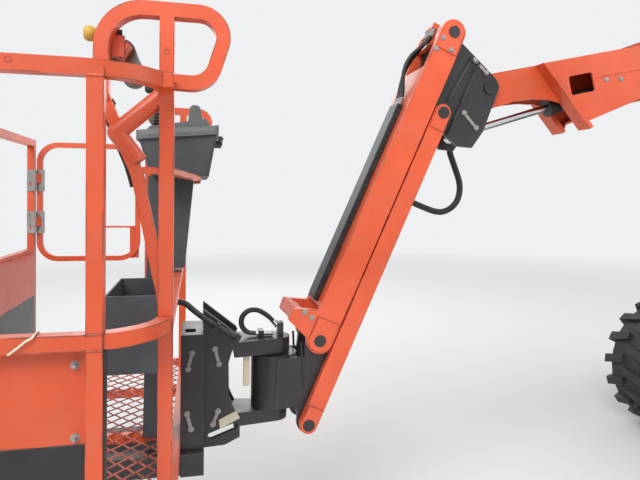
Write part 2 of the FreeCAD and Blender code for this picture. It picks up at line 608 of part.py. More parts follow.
def riser_arm(x, z, angle, length):
    """A box arm along its own X from its foot pin, with round ends and pin bores."""
    half = RISER_DEPTH / 2
    w = RISER_WIDTH / 2
    outline = [(0, 0, 78), (240, 0, half), (length - 240, 0, half), (length, 0, 78)]
    outer = joined([hull_y([outline[0], outline[1]], -w, w), hull_y([outline[1], outline[2]], -w, w),
                    hull_y([outline[2], outline[3]], -w, w)])
    hollow = box(150, length - 150, -w + 10, w - 10, -half + 10, half - 10)
    bores = [pin_y(at, 0, 30.0 + PIN_CLEARANCE, -w - 1, w + 1) for at in (0, length)]
    return turned(outer.cut([hollow] + bores), x, z, angle)


def link_pair(x, z, angle, length):
    """Two flat bars side by side, from pin to pin."""
    half = LINK_DEPTH / 2
    bars = []
    for y0, y1 in ((76, 96), (-96, -76)):
        bar = hull_y([(0, 0, half), (length, 0, half)], y0, y1)
        bores = [pin_y(at, 0, 20.0 + PIN_CLEARANCE, y0 - 1, y1 + 1) for at in (0, length)]
        bars.append(turned(bar.cut(bores), x, z, angle))
    return bars


def make_tower():
    fx, fz = TOWER_FOOT_X, TOWER_FOOT_Z
    ox, oz = LINK_OFFSET_X, LINK_OFFSET_Z
    half = RISER_DEPTH / 2
    lower = riser_arm(fx, fz, RISER_ANGLE, RISER_LENGTH)
    upper = riser_arm(TOP_LOW[0], TOP_LOW[1], -RISER_ANGLE, RISER_LENGTH)
    feet = []
    rise = TOWER_CYLINDER_OFFSET - half + 12
    for y0, y1 in ((50.3, 66), (-66, -50.3)):
        ear = hull_y([(0, 0, 32), (-60, -rise, 2), (60, -rise, 2)], y0, y1).cut(pin_y(0, 0, 18, y0 - 1, y1 + 1))
        feet.append(turned(ear, TOWER_CYL_FOOT[0], TOWER_CYL_FOOT[1], RISER_ANGLE))
    pin = pin_y(TOWER_CYL_FOOT[0], TOWER_CYL_FOOT[1], 18.0, -70, 70)
    keep("lower_riser", joined([lower] + feet + [pin]))
    heads = []
    rise = TOWER_EYE_BELOW - half + 12
    for y0, y1 in ((50.3, 66), (-66, -50.3)):
        ear = hull_y([(0, 0, 32), (60, rise, 2), (-60, rise, 2)], y0, y1)
        heads.append(turned(ear, TOWER_CYL_EYE[0], TOWER_CYL_EYE[1], -RISER_ANGLE))
    keep("upper_riser", joined([upper] + heads))
    keep("lower_links", link_pair(fx + ox, fz + oz, RISER_ANGLE, RISER_LENGTH))
    keep("upper_links", link_pair(TOP_LOW[0] + ox, TOP_LOW[1] - oz, -RISER_ANGLE, RISER_LENGTH))
    y0, y1 = TOWER_CHEEK_Y, TOWER_CHEEK_Y + 18
    mx, mz = MID_LOW
    hx, hz = MID_HIGH
    sides = pair_y(y0, y1, lambda a, b: hull_y(
        [(mx, mz, 72), (hx, hz, 72), (hx + ox, hz - oz, 40), (mx + ox, mz + oz, 40)], a, b))
    pins = [pin_y(px, pz, r, -y1 - 8, y1 + 8) for px, pz, r in (
        (mx, mz, 30.0), (hx, hz, 30.0), (mx + ox, mz + oz, 20.0), (hx + ox, hz - oz, 20.0))]
    front = box(mx + 40, mx + 52, -y0, y0, mz + 100, hz - 100)
    keep("mid_upright", joined(sides + pins + [front]))
    tx, tz = TOP_LOW
    bx, bz = BOOM_FOOT
    sides = pair_y(y0, y1, lambda a, b: hull_y(
        [(tx + ox, tz - oz, 40), (tx, tz, 72), (LIFT_FOOT[0], LIFT_FOOT[1], 62), (bx, bz, 80)],
        a, b))
    pins = [pin_y(px, pz, r, -y1 - 8, y1 + 8) for px, pz, r in (
        (tx, tz, 30.0), (tx + ox, tz - oz, 20.0), (bx, bz, 32.0), (LIFT_FOOT[0], LIFT_FOOT[1], 24.0))]
    back = box(bx - 96, bx - 84, -y0, y0, bz - 330, bz - 150)
    keep("top_upright", joined(sides + pins + [back]))


def cylinder_parts(foot, eye, barrel_radius, rod_radius, foot_pin, eye_pin, width, room, pin_reach, rod_start):
    """A barrel with its foot eye, and a rod with its own eye and short pin, in place."""
    angle = math.degrees(math.atan2(eye[1] - foot[1], eye[0] - foot[0]))
    length = math.hypot(eye[0] - foot[0], eye[1] - foot[1])
    barrel_end = length - room
    eye_radius = max(foot_pin * 1.9, rod_radius * 1.3)
    barrel = rod_between(vec(eye_radius * 0.7, 0, 0), vec(barrel_end, 0, 0), barrel_radius)
    collar = rod_between(vec(barrel_end - 40, 0, 0), vec(barrel_end, 0, 0), barrel_radius + 5.0)
    foot_eye = pin_y(0, 0, eye_radius, -width / 2, width / 2)
    barrel = joined([barrel, collar, foot_eye])
    bore = rod_between(vec(eye_radius + 30, 0, 0), vec(barrel_end + 1, 0, 0), rod_radius + PIN_CLEARANCE)
    barrel = barrel.cut([pin_y(0, 0, foot_pin + PIN_CLEARANCE, -width, width), bore])
    rod = rod_between(vec(rod_start, 0, 0), vec(length - eye_pin * 1.2, 0, 0), rod_radius)
    rod_eye = pin_y(length, 0, eye_pin * 1.7, -width / 2, width / 2)
    rod_pin = pin_y(length, 0, eye_pin * 0.8, -pin_reach, pin_reach)
    rod = joined([rod, rod_eye, rod_pin])
    return turned(barrel, foot[0], foot[1], angle), turned(rod, foot[0], foot[1], angle)


def make_cylinders():
    table = (
        # name, foot, eye, barrel radius, rod radius, foot pin, eye pin, width, barrel end to eye, pin reach, rod start
        ("tower", TOWER_CYL_FOOT, TOWER_CYL_EYE, 48.0, 26.0, 18.0, 20.0, 100.0, 194.5, 50.0, 180.0),
        ("lift", LIFT_FOOT, LIFT_EYE, 55.0, 30.0, 24.0, 26.0, 100.0, 146.0, 55.7, 110.0),
        ("level", LEVEL_FOOT, LEVEL_PIN, 32.0, 15.0, 16.0, 16.0, 52.0, 440.0, 69.7, 400.0),
        ("jib", JIB_CYL_FOOT, JIB_CYL_EYE, 38.0, 20.0, PIN_RADIUS, 20.0, 2 * JIB_EYE_HALF_WIDTH, 64.0, 44.7, 80.0),
    )
    for name, foot, eye, *sizes in table:
        barrel, rod = cylinder_parts(foot, eye, *sizes)
        keep(name + "_cylinder", barrel)
        keep(name + "_rod", rod)


def frame_of_pads(along, half_y, half_z):
    """Four wear pads that stand outside a rectangle of that half width and half height."""
    end = along + PAD_LENGTH
    t = PAD_THICKNESS
    pads = pair_y(half_y, half_y + t, lambda y0, y1: box(along, end, y0, y1, 20 - half_z, half_z - 20))
    for z in (half_z, -half_z - t):
        pads.append(box(along, end, 20 - half_y, half_y - 20, z, z + t))
    return pads


def make_main_boom():
    """Base section of the telescoping boom: a box tube with cheeks at its foot pin."""
    half = MAIN_BOOM_DEPTH / 2
    w = MAIN_BOOM_WIDTH / 2
    tube = box(120, MAIN_BOOM_END, -w, w, -half, half)
    collar = box(MAIN_BOOM_END - 90, MAIN_BOOM_END, -w - 8, w + 8, -half - 8, half + 8)
    hollow = box(150, MAIN_BOOM_END + 1, -w + BOOM_WALL, w - BOOM_WALL, -half + BOOM_WALL, half - BOOM_WALL)
    foot = hull_y([(0, 0, 70), (200, -half + 30, 30), (200, half - 30, 30)], -w, w)
    bore = pin_y(0, 0, 32.0 + PIN_CLEARANCE, -w - 1, w + 1)
    ears = []
    for y0, y1 in ((56, 76), (-76, -56)):
        ears.append(hull_y([(LIFT_ALONG, -LIFT_BELOW, 42), (LIFT_ALONG + 90, -half + 2, 2),
                            (LIFT_ALONG - 90, -half + 2, 2)], y0, y1))
    shape = joined([tube, collar, foot] + ears).cut([hollow, bore])
    pads = frame_of_pads(MAIN_BOOM_END - PAD_LENGTH, w - BOOM_WALL - PAD_THICKNESS, half - BOOM_WALL - PAD_THICKNESS)
    shape = joined([shape] + pads)
    keep("main_boom", turned(shape, BOOM_FOOT[0], BOOM_FOOT[1], -BOOM_DROP))


def make_fly_boom():
    """Fly section: a box tube that deepens to a slanted flange, then a forked neck to the nose pin."""
    half = FLY_DEPTH / 2
    w = FLY_WIDTH / 2
    wall = BOOM_WALL
    tube = box(FLY_START, 3640, -w, w, -half, half)
    swell = polygon_y([(3290, -half), (3640, -160), (3655, -186), (3806, 84), (3806, half), (3290, half)], -w, w)
    hollow = box(FLY_START - 1, 3700, -w + wall, w - wall, -half + wall, half - wall)
    swell_hollow = polygon_y([(3360, -half + wall), (3640, -150), (3652, -170), (3790, 80), (3790, half - wall),
                              (3360, half - wall)], -w + wall, w - wall)
    body = joined([tube, swell]).cut([hollow, swell_hollow])
    body = joined([body] + frame_of_pads(FLY_START, w, half))
    flange = polygon_y([(3800, 92), (3818, 98), (3664, -192), (3646, -186)], -120, 120)
    mouth = box(3600, 3900, -NECK_HALF_WIDTH + 14, NECK_HALF_WIDTH - 14, -200, 60)
    n = NECK_HALF_WIDTH
    nx, nz = FLY_NOSE_PIN, FLY_NOSE_RISE
    neck_sides = pair_y(n - 14, n, lambda y0, y1: joined([
        hull_y([(nx, nz, 56), (nx - 40, nz - 20, 56)], y0, y1),
        polygon_y([(3690, half - 2), (3690, -84), (3779, -46), (3845, -31), (3934, -24), (nx - 36, -32),
                   (nx, half - 0.4)], y0, y1)]))
    roof = polygon_y([(3720, half - 14), (nx - 60, half - 14), (nx - 60, half - 1), (3720, half - 1)], -n, n)
    body = joined([body.fuse(flange).cut(mouth)] + neck_sides + [roof])
    window = hull_y([(3596, -36, 10), (3686, -36, 10), (3686, 20, 10), (3596, 20, 10)], -w - 2, w + 2)
    bore = pin_y(nx, nz, 24.0 + PIN_CLEARANCE, -n - 1, n + 1)
    foot = pin_y(FLY_NOSE_PIN - LEVEL_FOOT_BACK, FLY_NOSE_RISE - LEVEL_FOOT_BELOW, 16.0, -w + 2, w - 2)
    body = joined([body.cut([window, bore]), foot])
    keep("fly_boom", turned(body, BOOM_FOOT[0], BOOM_FOOT[1], -BOOM_DROP))


def make_nose_bracket():
    """Two ribbed plates on the boom's nose pin, which carry the jib's two pins."""
    ex, ez = NOSE
    ax, az = JIB_A
    bx, bz = JIB_B
    outline = [(ex + u, ez + v) for u, v in ((-8, 54), (-30, 33), (-42, 8), (23, -167), (70, -233), (131, -229),
                                            (179, -192), (244, -116), (203, 189), (169, 209))]
    plates = pair_y(BRACKET_INNER_Y, BRACKET_OUTER_Y, lambda y0, y1: joined([
        polygon_y(outline, y0, y1), pin_y(ax, az, 36, y0, y1), pin_y(bx, bz, 40, y0, y1)]))
    ribs = []
    for (u0, v0), (u1, v1) in (((78, 112), (175, -60)), ((49, 95), (176, -193))):
        run = math.hypot(u1 - u0, v1 - v0)
        angle = math.degrees(math.atan2(v1 - v0, u1 - u0))
        for y0, y1 in ((BRACKET_OUTER_Y - 2, BRACKET_OUTER_Y + 10), (-BRACKET_OUTER_Y - 10, -BRACKET_OUTER_Y + 2)):
            ribs.append(turned(box(0, run, y0, y1, -4, 4), ex + u0, ez + v0, angle))
    y = JIB_OUTER_Y + 8
    pins = [pin_y(ex, ez, 24.0, -BRACKET_OUTER_Y - 6, BRACKET_OUTER_Y + 6), pin_y(ax, az, PIN_RADIUS, -y, y),
            pin_y(bx, bz, PIN_RADIUS, -y, y)]
    back = hull_y([(ax - 34, az - 60, 6), (ax - 96, az - 106, 6)], -BRACKET_INNER_Y, BRACKET_INNER_Y)
    clip_y = BRACKET_OUTER_Y + 62
    clip = box(ex + 36, ex + 76, -clip_y - 17, -BRACKET_OUTER_Y, ez - 160, ez - 134)
    keep("nose_bracket", joined(plates + pins + ribs + [back, clip]))
    run = ((56, -160.3), (56, -216), (22, -300), (-6, -376), (10, -450), (74, -494), (150, -477), NOSE_HOSE_END)
    route = [(ex + u, -clip_y, ez + v) for u, v in run]
    keep("nose_hose", hose(route, NOSE_HOSE_RADIUS))


def jib_bar(length, depth, end, y0, y1):
    half = depth / 2
    bar = box(0, length, y0, y1, -half, half)
    ends = [pin_y(at, 0, end, y0, y1) for at in (0, length)]
    bores = [pin_y(at, 0, PIN_RADIUS + PIN_CLEARANCE, y0 - 1, y1 + 1) for at in (0, length)]
    return joined([bar] + ends).cut(bores)


def make_jib():
    """Upper arm with its front web, hose tray and lower bracket, and the lower levelling link."""
    y0, y1 = JIB_INNER_Y, JIB_OUTER_Y
    half = JIB_ARM_DEPTH / 2
    length = JIB_LENGTH
    bars = pair_y(y0, y1, lambda a, b: jib_bar(length, JIB_ARM_DEPTH, half, a, b))
    web = box(JIB_WEB_START, length - JIB_WEB_SHORT, -y1, y1, half - JIB_WEB_THICKNESS, half)
    lugs = pair_y(y0, y1, lambda a, b: polygon_y(
        [(length - 97, 0), (length - 40, 0), (length + 10, half - 2), (length - 26, 136),
         (length - 70, 138), (length - 100, half - 2)], a, b))
    cross = box(length - 76, length - 32, -y0, y0, 92, 136).cut(box(length - 70, length - 38, -y0 - 1, y0 + 1, 98, 130))
    pads = []
    for at, way in ((0, 1), (length, -1)):
        for a, b in ((y1, y1 + 5), (-y1 - 5, -y1)):
            x0, x1 = sorted((at, at + way * 78))
            pad = joined([pin_y(at, 0, half - 7, a, b), box(x0, x1, a, b, 7 - half, half - 7)])
            pads.append(pad.cut(pin_y(at, 0, PIN_RADIUS + PIN_CLEARANCE, a - 1, b + 1)))
    eye = length - JIB_EYE_BACK
    clamp = [box(34, 56, -y0, y0, 26, 44.5), box(-10, 56, -20, 52, 40, 44.5), box(-30, -8, -20, 52, 40, 66)]
    ears = pair_y(JIB_EYE_HALF_WIDTH + 10, JIB_EYE_HALF_WIDTH + 26, lambda a, b: hull_y(
        [(eye, -JIB_EYE_BELOW, 30), (eye + 46, half - 6, 2), (eye - 46, half - 6, 2)], a, b))
    arm = joined(bars + [web] + lugs + [cross] + ears + pads + clamp)
    keep("jib_arm", turned(arm, JIB_A[0], JIB_A[1], -JIB_DROP))
    bars = pair_y(y0, y1, lambda a, b: jib_bar(length, JIB_LINK_DEPTH, JIB_LINK_DEPTH / 2, a, b))
    tube = pin_y(length - JIB_EYE_BACK - 60, 0, 22.0, -y0, y0)
    pads = []
    for at, way in ((0, 1), (length, -1)):
        for a, b in ((y1, y1 + 5), (-y1 - 5, -y1)):
            x0, x1 = sorted((at, at + way * 66))
            pad = joined([pin_y(at, 0, JIB_LINK_DEPTH / 2 - 4, a, b),
                          box(x0, x1, a, b, 4 - JIB_LINK_DEPTH / 2, JIB_LINK_DEPTH / 2 - 4)])
            pads.append(pad.cut(pin_y(at, 0, PIN_RADIUS + PIN_CLEARANCE, a - 1, b + 1)))
    link = turned(joined(bars + [tube] + pads), JIB_B[0], JIB_B[1], -JIB_DROP)
    clip = turned(box(SEAT, 60, -BRACKET_OUTER_Y - 79, -y1 + 3, -17, 17), NOSE[0] + NOSE_HOSE_END[0],
                  NOSE[1] + NOSE_HOSE_END[1], 23.4)
    keep("jib_link", joined([link, clip]))
    low, high = half + SEAT, half + TRAY_HEIGHT
    end = length - TRAY_SHORT
    tray = polygon_y([(TRAY_START, low), (end, low), (end - 2, high - 4), (end - 20, high), (TRAY_START, high)], -31, 55)
    tray = tray.cut(box(TRAY_START + 14, end - 30, -27, 51, low + 3, high - 3))
    keep("jib_hose_tray", turned(tray, JIB_A[0], JIB_A[1], -JIB_DROP))
    strip = box(TRAY_START, end - 2, 55 + SEAT, 59, low + 2, high - 4)
    keep("jib_rub_strip", turned(strip, JIB_A[0], JIB_A[1], -JIB_DROP))
    table = (
        # place across, then the place along and the height of each turn
        (40.0, ((30, 54), (74, 70), (124, 96), (178, 101), (230, 84), (276, 61))),
        (16.0, ((32, 54), (76, 66), (126, 85), (180, 90), (232, 79), (278, 61))),
        (-8.0, ((34, 54), (78, 63), (128, 77), (182, 81), (234, 73), (280, 61))),
    )
    for i, (y, turns) in enumerate(table):
        route = [(-8 + SEAT, y, 54)] + [(a, y, u) for a, u in turns] + [(TRAY_START - SEAT, y, 61)]
        keep("jib_top_hose_%d" % (i + 1), turned(hose(route, TOP_HOSE_RADIUS), JIB_A[0], JIB_A[1], -JIB_DROP))


def make_rotator():
    """Foot of the jib with the rotator housing, and the fork and channel that hang the platform."""
    cx, cz = JIB_C
    dx, dz = JIB_D
    rx = ROTATOR_X
    z0, z1 = dz + 50, dz + 240
    plates = pair_y(BRACKET_INNER_Y, BRACKET_OUTER_Y, lambda a, b: joined([
        hull_y([(cx, cz, 42), (dx, dz, 38)], a, b),
        box(cx + 20, rx, a, b, z0 + 4, z1 - 4)]))
    housing = pin_z(rx, 0, ROTATOR_RADIUS, z0, z1)
    y = JIB_OUTER_Y + 4
    pins = [pin_y(cx, cz, PIN_RADIUS, -y, -45), pin_y(cx, cz, PIN_RADIUS, 45, y),
            pin_y(dx, dz, PIN_RADIUS, -y, y)]
    foot = joined(plates + [housing] + pins).cut(pin_z(rx, 0, 30.0 + PIN_CLEARANCE, z0 - 1, z1 + 1))
    keep("jib_foot", foot)
    x2, x3 = rx + 127, BACK_X - 80
    top = hull_z([(rx, 0, 58), (x2 + 20, -80, 4), (x2 + 20, 80, 4)], z1 + 6, z1 + 60)
    low = hull_z([(rx, 0, 50), (x2 + 20, -70, 4), (x2 + 20, 70, 4)], z0 - 54, z0 - 6)
    shaft = pin_z(rx, 0, 30.0, z0 - 54, z1 + 60)
    throat = ((x3 + 4, z1 + 182), (x3 - 120, z1 + 82), (x3 - 125, z1 + 72), (x3 - 95, z1 + 28), (x3 - 84, z1 - 10),
              (x3 - 86, z0 + 59), (x3 - 104, z0 + 14), (x3 - 125, z0 - 26), (x3 - 125, z0 - 60), (x3 - 125, z0 - 87),
              (x3 - 73, z0 - 111), (x3 + 4, z0 - 115))
    cheeks = pair_y(66, 84, lambda a, b: polygon_y(throat, a, b).cut(
        hull_y([(x3 - 24, z0 - 76, 11), (x3 - 108, z0 - 46, 11)], a - 1, b + 1)))
    bar = box(rx + 95, rx + 117, 46, 62, z0 + 87, z1 + 10)
    channel = joined([box(x3, x3 + 12, -110, 110, z0 - 200, z1 + 100),
                      box(x3, x3 + 80 - SEAT, -110, -98, z0 - 200, z1 + 100),
                      box(x3, x3 + 80 - SEAT, 98, 110, z0 - 200, z1 + 100),
                      box(x3, x3 + 80 - SEAT, -110, 110, z1 + 92, z1 + 100).cut(box(x3 + 30, x3 + 66, 20, 70, z1, z1 + 120))])
    rail_top = FLOOR_Z - FLOOR_THICKNESS - TUBE - 2 * SEAT
    blocks = [box(rx - 32, rx - 12, -18, 26, z1 + 58, z1 + 110), box(rx + 40, rx + 60, -18, 26, z1 + 58, z1 + 84)]
    loops = []
    for y, side, drop in ((14.0, 38.0, 98.0), (-8.0, 33.0, 92.0)):
        under = z1 + 72
        out = rx + 100 - (38 - side) * 1.4
        step = side / math.sqrt(2)
        route = [(rx - 12, y, under + drop - 72), (rx + 22, y, under + side + 2 * step - 24),
                 (out - side, y, under + side + 2 * step), (out, y, under + side + 2 * step),
                 (out + step, y, under + side + step), (out + step, y, under + step), (out, y, under), (rx + 60, y, under)]
        loops.append(hose(route, LOOP_HOSE_RADIUS))
    start = BACK_X + 29
    route = [(start, 98, FLOOR_Z + 473), (start - 39, 98, FLOOR_Z + 473), (start - 93, 98, FLOOR_Z + 424),
             (start - 159, 98, FLOOR_Z + 379), (start - 218, 98, FLOOR_Z + 344)]
    conduit = hose(route, CONDUIT_RADIUS)
    clips = [turned(box(-2, 14, 83, 111, -13, 13), start - 218, FLOOR_Z + 344, 210.7),
             turned(box(-8, 8, 83, 111, -13, 13), start - 150, FLOOR_Z + 385, 214)]
    rails = [box(x3, FRONT_X - 120, s * 104 - 30, s * 104 + 30, FLOOR_Z - 110, rail_top) for s in (-1, 1)]
    keep("platform_support", joined([top, low, shaft, channel, bar, conduit] + cheeks + rails + blocks + clips + loops))


def make_platform():
    """Guard rails, floor, panels and the swing gate."""
    h = TUBE / 2
    x0, x1 = BACK_X + h, FRONT_X - h
    y0, y1 = -HALF_Y + h, HALF_Y - h
    top = RAIL_Z - h
    mid = FLOOR_Z + MID_RAIL_HEIGHT
    post_y = HALF_Y - CORNER_RADIUS + h
    near_x = BACK_X + NEAR_POST + h
    hinge_x = x1
    latch_x = BACK_X + 190
    foot = FLOOR_Z - FLOOR_THICKNESS
    tubes = [
        bar_xy([(hinge_x, y0 - h), (x1, y1), (x0, y1), (x0, post_y + 40)], top, CORNER_RADIUS),
        bar_xy([(latch_x + h, y0), (x0, y0), (x0, -post_y - 40)], top, CORNER_RADIUS),
        bar_xy([(hinge_x, y0 - h), (x1, y1), (x0, y1), (x0, y0), (latch_x + h, y0)], mid, CORNER_RADIUS),
        box(near_x - h, near_x + h, y1 - h, y1 + h, foot, top),
        box(x1 - 180 - h, x1 - 180 + h, y1 - h, y1 + h, foot, top),
        box(hinge_x - h, hinge_x + h, y0 - h, y0 + h, foot, top),
        box(latch_x - h, latch_x + h, y0 - h, y0 + h, foot, top),
        box(x1 - h, x1 + h, -h, h, foot, top),
    ]
    for x, way, y in ((near_x, 1, y1), (x1 - 180, -1, y1), (hinge_x, -1, y0), (latch_x, 1, y0)):
        tubes.append(polygon_y([(x, foot), (x + way * 74, foot), (x + way * 74, foot + 8), (x, foot + 96)][::way],
                               y - 3, y + 3))
    for s in (-1, 1):
        y = s * (post_y - 20)
        corner = bar_yz([(s * (post_y + 50), top), (y, top), (y, foot)], x0, 50.0)
        tubes.append(corner)
    keep("platform_rails", joined(tubes))
    base = [bar_xy([(x0, y0), (x1, y0), (x1, y1), (x0, y1)], foot - SEAT - h, 60.0, TUBE, True)]
    for i in range(JOISTS):
        y = (i - (JOISTS - 1) / 2) * PLATFORM_WIDTH / (JOISTS + 1)
        base.append(box(x0, x1, y - 12, y + 12, foot - SEAT - TUBE, foot - SEAT))
    keep("platform_base", joined(base))
    floor = box(x0 + h + SEAT, x1 - h - SEAT, y0 + h + SEAT, y1 - h - SEAT, foot, FLOOR_Z)
    keep("platform_mesh", floor)


def make_side_panels():
    """Sheet panels between the middle rail and the floor, and the dark toe boards below them."""
    mid = FLOOR_Z + MID_RAIL_HEIGHT
    near_x = BACK_X + NEAR_POST + TUBE + 1
    split = FLOOR_Z + PANEL_BOTTOM
    front = FRONT_X - CORNER_RADIUS - TUBE / 2 - 8
    for name, z0, z1 in (("side_panels", split, mid), ("toe_boards", FLOOR_Z + SEAT, split - SEAT)):
        y1 = HALF_Y - TUBE - 1
        x1 = FRONT_X - TUBE - 1
        sheets = [box(near_x, front, y1 - SHEET, y1, z0, z1),
                  box(x1 - SHEET, x1, -HALF_Y + TUBE + 12, HALF_Y - CORNER_RADIUS - TUBE / 2 - 8, z0, z1)]
        keep(name, sheets)


def make_gate():
    """Swing gate on the far side, hung on the front corner post, with its hinge leaves."""
    h = TUBE / 2
    y = -HALF_Y + h
    x1 = FRONT_X - TUBE - 10
    x0 = BACK_X + 190 + TUBE + 8
    top = RAIL_Z - h - 6
    low = FLOOR_Z + MID_RAIL_HEIGHT - 36
    hinge_x, hinge_y = gate_hinge()
    loop = bar_xz([(x0 + 12, low), (x1 - 12, low), (x1 - 12, top), (x0 + 12, top)], y, 86.0, 24.0, True)
    leaves = []
    posts = []
    for z in (RAIL_Z - 210, RAIL_Z - 420):
        leaf = hull_z([(hinge_x, hinge_y, 11), (x1 - 20, y + 15, 3), (x1 - 20, y + 9, 3)], z, z + 45)
        knuckle = pin_z(hinge_x, hinge_y, 11, z, z + 45)
        leaves.append(leaf.fuse(knuckle).cut(pin_z(hinge_x, hinge_y, 6 + PIN_CLEARANCE, z - 5, z + 60)))
        ear = hull_z([(hinge_x, hinge_y, 11), (FRONT_X - h, y + h, 3), (FRONT_X - h, y + h + 4, 3)], z - 12.3, z - 0.3)
        posts.append(ear.fuse(pin_z(hinge_x, hinge_y, 6, z - 12.3, z + 44)))
    latch = [box(x0 + 6, x0 + 50, y - 2, y + 2, low, low + 162),
             rod_between(vec(x0 + 30, y, low + 158), vec(x0 + 176, y, low + 158), 5.0),
             rod_between(vec(x0 + 171, y, low), vec(x0 + 171, y, low + 162), 5.0)]
    keep("gate", joined([loop] + latch + leaves))
    NODES["platform_rails"] = joined([NODES["platform_rails"]] + posts)


def gate_hinge():
    return FRONT_X - TUBE - 4, -HALF_Y + TUBE + 14


def make_hoops():
    """Guard hoops beside the console: post, loop and slanted strut on each side of the back rail."""
    h = TUBE / 2
    post_y = HALF_Y - CORNER_RADIUS + h - 20
    x0 = BACK_X + h
    top = RAIL_Z - h
    hoops = []
    y = post_y
    high = RAIL_Z + HOOP_RISE
    loop = joined([bar_xz([(x0 + 137, top - 40), (x0 + 137, high), (x0, high)], y, HOOP_BEND),
                   bar_xz([(x0, high), (x0 - 142, high), (x0 - 92, RAIL_Z - 11), (x0 - 8, RAIL_Z - 8)], y, 54.0)])
    strut = bar_xz([(x0 + 137, top - 20), (x0 + 62, top - 200), (x0 + 4, top - 480)], y, 120.0, 26.0)
    post = box(x0 - h, x0 + h, y - h, y + h, top - 60, high)
    corner = vec(x0 + 106, y, RAIL_Z - 124)
    elbow = joined([rod_between(vec(x0, y, RAIL_Z - 30), corner, 20.0), Part.makeSphere(20.0, corner),
                    rod_between(corner, vec(x0 + 58, y, RAIL_Z - 188), 20.0)])
    shelf_z = CONSOLE_TOP_Z - CONSOLE_DEPTH - SEAT
    shelf = joined([hull_z([(x0, y, 13), (x0 + 66, y, 13)], shelf_z - 15, shelf_z),
                    hull_z([(x0, y, 13), (x0 - 68, 205, 13)], shelf_z - 15, shelf_z)])
    mount = joined([box(x0 + 92, x0 + 137, y - h - 6, y - h + 2, RAIL_Z + 44, RAIL_Z + 92),
                    turned(box(-20, 20, y - h - 40, y - h, -20, 20), x0 + BAR_FORWARD, RAIL_Z + BAR_RISE, 30)])
    near = joined([loop, strut, post, elbow, shelf, mount])
    for one in (near, near.mirror(vec(0, 0, 0), vec(0, 1, 0))):
        NODES["platform_rails"] = joined([NODES["platform_rails"], one])
    end = y - h - 40.3
    bars = [rod_between(vec(x0 + BAR_FORWARD, s * (end - SLEEVE_LENGTH), RAIL_Z + BAR_RISE),
                        vec(x0 + BAR_FORWARD, s * end, RAIL_Z + BAR_RISE), 33.0) for s in (1, -1)]
    keep("padded_bar", bars)


def make_console():
    """Control box over the back rail, on its tapered pedestal, with lid, sticks, tray and foot switch."""
    x0, x1 = BACK_X - 118, BACK_X + 136
    z1 = CONSOLE_TOP_Z
    z0 = z1 - CONSOLE_DEPTH
    fall = CONSOLE_SLOPE
    slope = fall / (x1 - x0)
    body = polygon_y([(x0 + 30, z0), (x1 - 42, z0), (x1 - 8, z1 - slope * (x1 - 8 - x0)), (x0 + 6, z1 - slope * 6)],
                     -240, 240)
    body = rounded_edges(body, 18.0, lambda e: e.BoundBox.YLength < 1 and e.BoundBox.ZLength > 40)
    hx, hz = x0 - 12, z1 + SEAT
    ears = [joined([pin_y(hx, hz, 7, a, a + 18), box(hx - 7, x0 + 16, a, a + 18, hz - 20, hz - 2)]) for a in (40, -58)]
    pins = [pin_y(hx, hz, 5, 58, 100), pin_y(hx, hz, 5, -100, -58)]
    stem = polygon_y([(BACK_X - 40, z0 + 2), (BACK_X + 112, z0 + 2), (BACK_X + 126, FLOOR_Z + SEAT),
                      (BACK_X + 38, FLOOR_Z + SEAT), (BACK_X + 38, FLOOR_Z + 584), (BACK_X - 10, FLOOR_Z + 588)], -70, 70)
    stem = stem.cut(hull_y([(BACK_X + 108, FLOOR_Z + 250, 16), (BACK_X + 104, FLOOR_Z + 400, 16)], 62, 71))
    keep("console_box", joined([body, stem] + ears + pins))
    t = LID_THICKNESS
    lid = polygon_y([(x0, z1 + SEAT), (x1, z1 + SEAT - fall), (x1, z1 + t - fall), (x0, z1 + t)], -250, 250)
    lid = rounded_edges(lid, 20.0, lambda e: e.BoundBox.ZMin > z1 - fall + 4 and e.BoundBox.ZLength > 10
                        and e.BoundBox.YLength < 1 or e.BoundBox.ZLength > 24 and e.BoundBox.XLength < 1)
    dome = polygon_y([(x0 + 24, z1 + t - 6), (x1 - 24, z1 + t - fall - 4), (x1 - 40, z1 + t - fall + 14),
                      (x0 + 40, z1 + t + 20)], -222, 222)
    fin = polygon_y([(x0 + 40, z1 + 40), (x0 + 104, z1 + 40), (x0 + 94, z1 + 118), (x0 + 84, z1 + 126),
                     (x0 + 68, z1 + 126), (x0 + 58, z1 + 118)], -12, 12)
    tongues = [joined([pin_y(hx, hz, 9, a, a + 38), box(hx, x0 + 10, a, a + 38, hz + 1, hz + 9)]) for a in (60, -98)]
    lid = joined([lid, dome, fin] + tongues).cut(pin_y(hx, hz, 5 + PIN_CLEARANCE, -101, 101))
    keep("console_lid", lid)
    tx0, tx1 = BACK_X + 38, BACK_X + 200
    tz0, tz1 = FLOOR_Z + TRAY_ABOVE_FLOOR, FLOOR_Z + TRAY_ABOVE_FLOOR + 221
    tray = box(tx0, tx1, 70 + SEAT, 420, tz0, tz1).cut(box(tx0 + 5, tx1 - 5, 75 + SEAT, 415, tz0 + 5, tz1 + 10))
    nut = rod_between(vec(BACK_X + 29.3, 98, FLOOR_Z + 473), vec(tx0 + 2, 98, FLOOR_Z + 473), 15.0)
    keep("tool_tray", joined([tray, nut]))
    switch = hull_z([(BACK_X + 230, 500, 20), (BACK_X + 400, 500, 20), (BACK_X + 400, 640, 20),
                     (BACK_X + 230, 640, 20)], FLOOR_Z + 0.3, FLOOR_Z + 70)
    keep("foot_switch", switch)


def make_all():
    make_wheels()
    make_chassis()
    make_knuckles()
    make_steering_rod()
    make_turntable()
    make_hoods()
    make_tower()
    make_cylinders()
    make_main_boom()
    make_fly_boom()
    make_nose_bracket()
    make_jib()
    make_rotator()
    make_platform()
    make_side_panels()
    make_gate()
    make_hoops()
    make_console()


